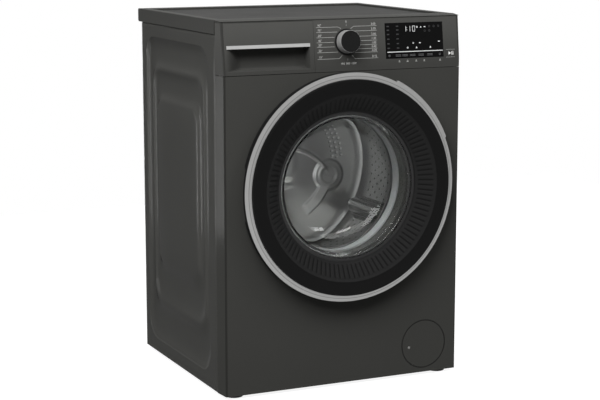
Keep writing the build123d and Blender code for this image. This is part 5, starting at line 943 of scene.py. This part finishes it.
lit = [item for x, bars in display["figures"] for item in litFigure(x, display["figureZ"], display["figure"], bars)]
colonX, dots, dotWidth = display["colon"]
lit += [bar(colonX, low, colonX, high, dotWidth) for low, high in dots]
lit += [litMark(spot % 3, *mark) for spot, mark in enumerate(display["lit"])]
lineFrom, lineTo, lineZ, lineWidth = display["line"]
lit.append(bar(lineFrom, lineZ, lineTo, lineZ, lineWidth))
printed("displayLit", lit, glowWhite)
half, width = display["dimBar"]
dim = [bar(x - half, z, x + half, z, width) for x in display["dimX"] for z in display["dimZ"]]
dim += [arc(x, z, *display["dimRing"]) for x, z in display["dimRings"]]
printed("displayDim", dim, glowDim)
(half, apart, width), keysX, keysZ = display["keyBar"], display["keysX"], display["keysZ"]
touch = [bar(x - half, keysZ + rise, x + half, keysZ + rise, width) for x in keysX[1:-1] for rise in (apart, -apart)]
touch += [arc(x, keysZ, *display["keyRing"]) for x in (keysX[0], keysX[-1])]
printed("touchKeys", touch, touchInk)

# small marks below the display, a line above and below the start key, and its triangle and bars
marks = {"x": (138, 159, 181.5, 202.4, 244), "z": 747.0, "bar": (2.4, -1.6, 0.7), "ring": (0.6, 1.0, 1.6),
         "keyX": (260.5, 284), "keyZ": (769.4, 752.0), "keyLine": 0.5, "start": ((267, 757), (273, 761), (267, 765)),
         "startBars": (275.3, 278.6), "startZ": (757, 765), "startBar": 1.4, "startOut": 0.6}
(half, barZ, width), (ringZ, inner, outer) = marks["bar"], marks["ring"]
small = []
for x in marks["x"]:
    small.append(bar(x - half, marks["z"] + barZ, x + half, marks["z"] + barZ, width))
    small.append(arc(x, marks["z"] + ringZ, inner, outer, 16))
small += [bar(marks["keyX"][0], z, marks["keyX"][1], z, marks["keyLine"]) for z in marks["keyZ"]]
printed("fasciaMarks", small, printGrey)
low, high = marks["startZ"]
start = [shape(*marks["start"])] + [bar(x, low, x, high, marks["startBar"]) for x in marks["startBars"]]
printed("startMark", start, keyInk, "key", marks["startOut"])
print("fascia print")

# filter flap: a pip in the finger dimple, a quarter ellipse in section, whose light grey is a painted highlight, and
# a black ring in the gap round the lid as painted shade
flap = {"x": 208.5, "z": 77.0, "pipX": -38.0, "pipZ": -6.0, "pip": 3.4, "pipDepth": (1.0, 0.05), "pipSteps": 32,
        "seal": ((56.5, -245.2), (57.3, -245.2), (57.3, -243.4), (56.5, -243.4)), "opening": 25.0, "gapShadeSteps": 120}
turn = np.linspace(0, 1, 10) * pi / 2
deep, top = flap["pipDepth"]
pipLoop = np.stack((flap["pip"] * np.sin(turn), frontY + top + (deep - top) * (1 - np.cos(turn))), -1)
pipLoop = np.concatenate((pipLoop, ((0.0, frontY + deep),)))
pip = turned(pipLoop, flap["pipSteps"], flap["x"] + flap["pipX"], flap["z"] + flap["pipZ"])
putMesh("flapPip", pip, "fascia_plastic", "flap", sharp=50, finish=pipHighlightTone)
# the black ring fills the gap round the lid as painted shade
gapShadeLoop = softLoop(flap["seal"], 0.2, 3)
seal = turned(gapShadeLoop, flap["gapShadeSteps"], flap["x"], flap["z"], radians(flap["opening"]))
putMesh("flapGapShadeRing", seal, "rubber_black", "cabinet")

# suspension springs: a wire wound on a helix, from the tub up to the cabinet
spring = {"places": ((-150, 60), (150, 60)), "z": (701.5, 798.5), "radius": 13.0, "wire": 1.9, "turns": 11,
          "perTurn": 26, "wireSteps": 10, "endWire": 0.02}


# the wire's section, radius + w cos(b) out and w sin(b) up, goes round the upright axis and climbs evenly;
# it shrinks at both ends
def coil(x, y):
    t = np.linspace(0, 1, spring["turns"] * spring["perTurn"])[:, None]
    turn = tau * spring["turns"] * t
    spin = np.linspace(0, tau, spring["wireSteps"], endpoint=False)[None]
    wire = spring["wire"] * np.where((t == 0) | (t == 1), spring["endWire"], 1)
    out = spring["radius"] + wire * np.cos(spin)
    low, high = spring["z"]
    height = low + (high - low) * t + wire * np.sin(spin)
    return np.stack((x + out * np.cos(turn), y + out * np.sin(turn), height), -1)


coils = np.stack([coil(x, y) for x, y in spring["places"]])
coilFaces = gridFaces(*coils.shape[1:3], False, True)
coilFaces = np.concatenate((coilFaces, coilFaces + coils[0].size // 3))
coilPair = putMesh("springCoils", (coils, coilFaces), "zinc_steel", None, ("suspension_springs",), 50)
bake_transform(coilPair)

# hoses: a corrugated tube along a NURBS spline through the route's points
hoses = {"sump": {"route": ((30, -150, 198), (30, -150, 140), (30, -150, 77), (95, -150, 77), (164.5, -150, 77)),
                  "radius": 19.5, "ridge": 2.4, "pitch": 9.0},
         "drain": {"route": ((250.5, -122, 77), (274, -122, 77), (274, -60, 77), (274, 180, 77), (274, 240, 77),
                             (274, 240, 140), (274, 240, 640), (274, 240, 700), (215, 240, 700), (215, 262, 700),
                             (215, 287.5, 700)),
                   "radius": 9.2, "ridge": 0.8, "pitch": 5.0, "cuff": (17.0, 10.6)}}


# points of a smooth open spline, read from an unbevelled curve
def splinePoints(route, fine=24):
    curve = bpy.data.curves.new("route", "CURVE")
    curve.dimensions, curve.resolution_u = "3D", fine
    spline = curve.splines.new("NURBS")
    spline.points.add(len(route) - 1)
    spline.points.foreach_set("co", np.hstack((np.array(route, float), np.ones((len(route), 1)))).ravel())
    spline.order_u, spline.use_endpoint_u = 3, True
    return meshOf("route", curve)[0]


# rings stand across the path, evenly along its length; the radius at length s is r + ridge cos(tau s / pitch),
# the last ones widen to a cuff, and the ends close
def hoseTube(route, radius, ridge, pitch, cuff=(0.0, 0.0), sides=20, perPitch=5):
    path = splinePoints(route)
    run = np.concatenate(([0], np.cumsum(np.linalg.norm(np.diff(path, axis=0), axis=1))))
    at = np.linspace(0, run[-1], int(run[-1] / pitch * perPitch))
    line = np.stack([np.interp(at, run, path[:, k]) for k in range(3)], -1)
    ahead = np.gradient(line, axis=0)
    ahead /= np.linalg.norm(ahead, axis=1)[:, None]
    aslant = np.where(np.abs(ahead[:, 1:2]) > 0.8, (0.3, 0.2, 0.93), (0.1, 0.99, 0.1))  # never along the path
    side = np.cross(ahead, aslant)
    side /= np.linalg.norm(side, axis=1)[:, None]
    over = np.cross(ahead, side)
    angle = np.linspace(0, tau, sides, endpoint=False)[None, :, None]
    swell = np.where(run[-1] - at < cuff[0], cuff[1], radius + ridge * np.cos(tau * at / pitch))[:, None, None]
    tube = closeEnds(line[:, None] + swell * (side[:, None] * np.cos(angle) + over[:, None] * np.sin(angle)))
    return tube, gridFaces(*tube.shape[:2], False, True)


sump = putMesh("sumpBellows", hoseTube(**hoses["sump"]), "rubber_black", None, ("sump_hose",), 60)
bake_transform(sump)
putMesh("drainHose", hoseTube(**hoses["drain"]), "rubber_black", "cabinet", ("drain_hose",), 60)

# drive belt: a ribbed band round both pulleys; its depth and the motor's axis come from the frame
belt = {"big": (0.0, drumAxis, 140.5), "smallRadius": 12.5, "steps": (120, 40), "width": 11.0, "thick": 2.6,
        "ribs": 5, "ribDepth": 0.7, "perRib": 4}


# an arc on each pulley between the outer tangents, whose half angle has the cosine (R - r) / distance;
# the inside of the section is a cosine wave across the width
def ribbedBelt():
    beltLow, _ = [np.array(v) * 1000 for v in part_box("drive_belt")]
    shaftLow, shaftHigh = [np.array(v) * 1000 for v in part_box("motor_rotor")]
    motorX, _, motorZ = (shaftLow + shaftHigh) / 2
    bigX, bigZ, bigRadius = belt["big"]
    way = np.arctan2(motorZ - bigZ, motorX - bigX)
    lap = np.arccos((bigRadius - belt["smallRadius"]) / np.hypot(motorX - bigX, motorZ - bigZ))
    bigSteps, smallSteps = belt["steps"]
    angle = np.concatenate((np.linspace(way + lap, way + tau - lap, bigSteps),
                            np.linspace(way - lap, way + lap, smallSteps)))
    onBig = (np.arange(bigSteps + smallSteps) < bigSteps)[:, None]
    tooth = np.linspace(0, 1, belt["ribs"] * belt["perRib"] + 1)
    inside = belt["ribDepth"] * (0.5 - 0.5 * np.cos(tau * belt["ribs"] * tooth))
    section = np.concatenate((np.stack((inside, tooth * belt["width"]), -1),
                              ((belt["thick"], belt["width"]), (belt["thick"], 0))))
    reach = np.where(onBig, bigRadius, belt["smallRadius"]) + section[:, 0]
    x, z = np.where(onBig, bigX, motorX), np.where(onBig, bigZ, motorZ)
    rings = around(reach, beltLow[1] + section[:, 1], angle[:, None], x, z)
    return rings, gridFaces(*rings.shape[:2], True, True)


putMesh("ribbedBelt", ribbedBelt(), "rubber_black", "tub", ("drive_belt",), 50)
print("springs, hoses and belt")

# studio: pale floor that keeps the shadow, white all round, soft lamps
studio = {"floor": 2.2, "ambient": 0.09, "floorTone": (0.25, 0.25, 0.25, 1.0), "floorLift": 0.9}


# the greatest of three: 1 for a ray from the camera, from a gloss or through glass
def seenRays(tree):
    path = tree.nodes.new("ShaderNodeLightPath")
    kinds = "Is Camera Ray", "Is Glossy Ray", "Is Transmission Ray"
    shot, gloss, through = (Flow(tree, path.outputs[kind]) for kind in kinds)
    return shot.maths("MAXIMUM", shot.maths("MAXIMUM", shot, gloss), through)


scene.world = bpy.data.worlds.new("studioWhite")
scene.world.use_nodes = True
skyTree = scene.world.node_tree
sky = skyTree.nodes["Background"]
sky.inputs["Color"].default_value = (1, 1, 1, 1)
join(skyTree, sky.inputs["Strength"], seenRays(skyTree) * (1 - studio["ambient"]) + studio["ambient"])

floorMesh = bpy.data.meshes.new("studioFloor")
side = studio["floor"]
floorMesh.from_pydata([(-side, -side, 0), (side, -side, 0), (side, side, 0), (-side, side, 0)], [], [(0, 1, 2, 3)])
floorFinish = Finish("studioFloor")
floorGlow = seenRays(floorFinish.tree) * studio["floorLift"]
floorFinish.give({"Base Color": studio["floorTone"], "Roughness": 0.9, "Specular IOR Level": 0.0,
                  "Emission Color": (1, 1, 1, 1), "Emission Strength": floorGlow})
floorMesh.materials.append(floorFinish.material)
floor = putObject("studioFloor", floorMesh)


# an area lamp at a place, turned to its aim; it either lights the matt surfaces or is mirrored in the gloss,
# of one piece if that is named
def lamp(name, place, aim, size, power, mirrored=False, only=None):
    light = bpy.data.lights.new(name, "AREA")
    light.shape, light.size, light.size_y, light.energy = "RECTANGLE", size[0], size[1], power
    holder = putObject(name, light)
    holder.visible_camera, holder.visible_glossy, holder.visible_diffuse = False, mirrored, not mirrored
    if only:
        holder.light_linking.receiver_collection = bpy.data.collections.new(name)
        holder.light_linking.receiver_collection.objects.link(only)
    holder.location = place
    holder.rotation_euler = (Vector(aim) - Vector(place)).to_track_quat("-Z", "Y").to_euler()


lamp("topLamp", (-0.6, -1.6, 3.0), (0, -0.1, 0.5), (2.4, 1.8), 40)
lamp("keyLamp", (-2.4, -2.25, 3.4), (-0.1, 0, 0.45), (2.4, 2.4), 242)
lamp("rightLamp", (1.9, -2.2, 3.6), (0.2, 0, 0.2), (1.4, 1.4), 46)
lamp("sideLamp", (2.8, 0.3, 1.6), (0.3, 0.05, 0.45), (1.4, 1.4), 40)
lamp("rimSheen", (-1.147, 1.011, 0.36), (-0.3, -0.22, 0.52), (0.2, 0.55), 9, True)
lamp("fluteSheen", (-1.62, 0.5, 0.36), (-0.3, 0.0, 0.5), (0.8, 0.55), 190, True, leftSide)
lamp("glassSheenLow", (1.46, -1.74, 1.53), (-0.03, -0.165, 0.36), (0.6, 0.3), 9, True, bowl)
lamp("glassSheenHigh", (0.45, -1.82, 2.05), (0.04, -0.17, 0.35), (0.7, 0.3), 10, True, bowl)

# camera at the photograph's angle
shot = {"place": (-1.6426, -3.5356, 1.0803), "azimuth": -24.94, "elevation": 9.93, "lens": 98.49, "sensor": 36.0}
cameraData = bpy.data.cameras.new("photoCamera")
cameraData.lens, cameraData.sensor_width, cameraData.clip_end = shot["lens"], shot["sensor"], 60.0
camera = putObject("photoCamera", cameraData)
camera.location = shot["place"]
camera.rotation_euler = (radians(90 - shot["elevation"]), 0, radians(shot["azimuth"]))
scene.camera = camera
scene.view_settings.view_transform = "Standard"
print("studio set")
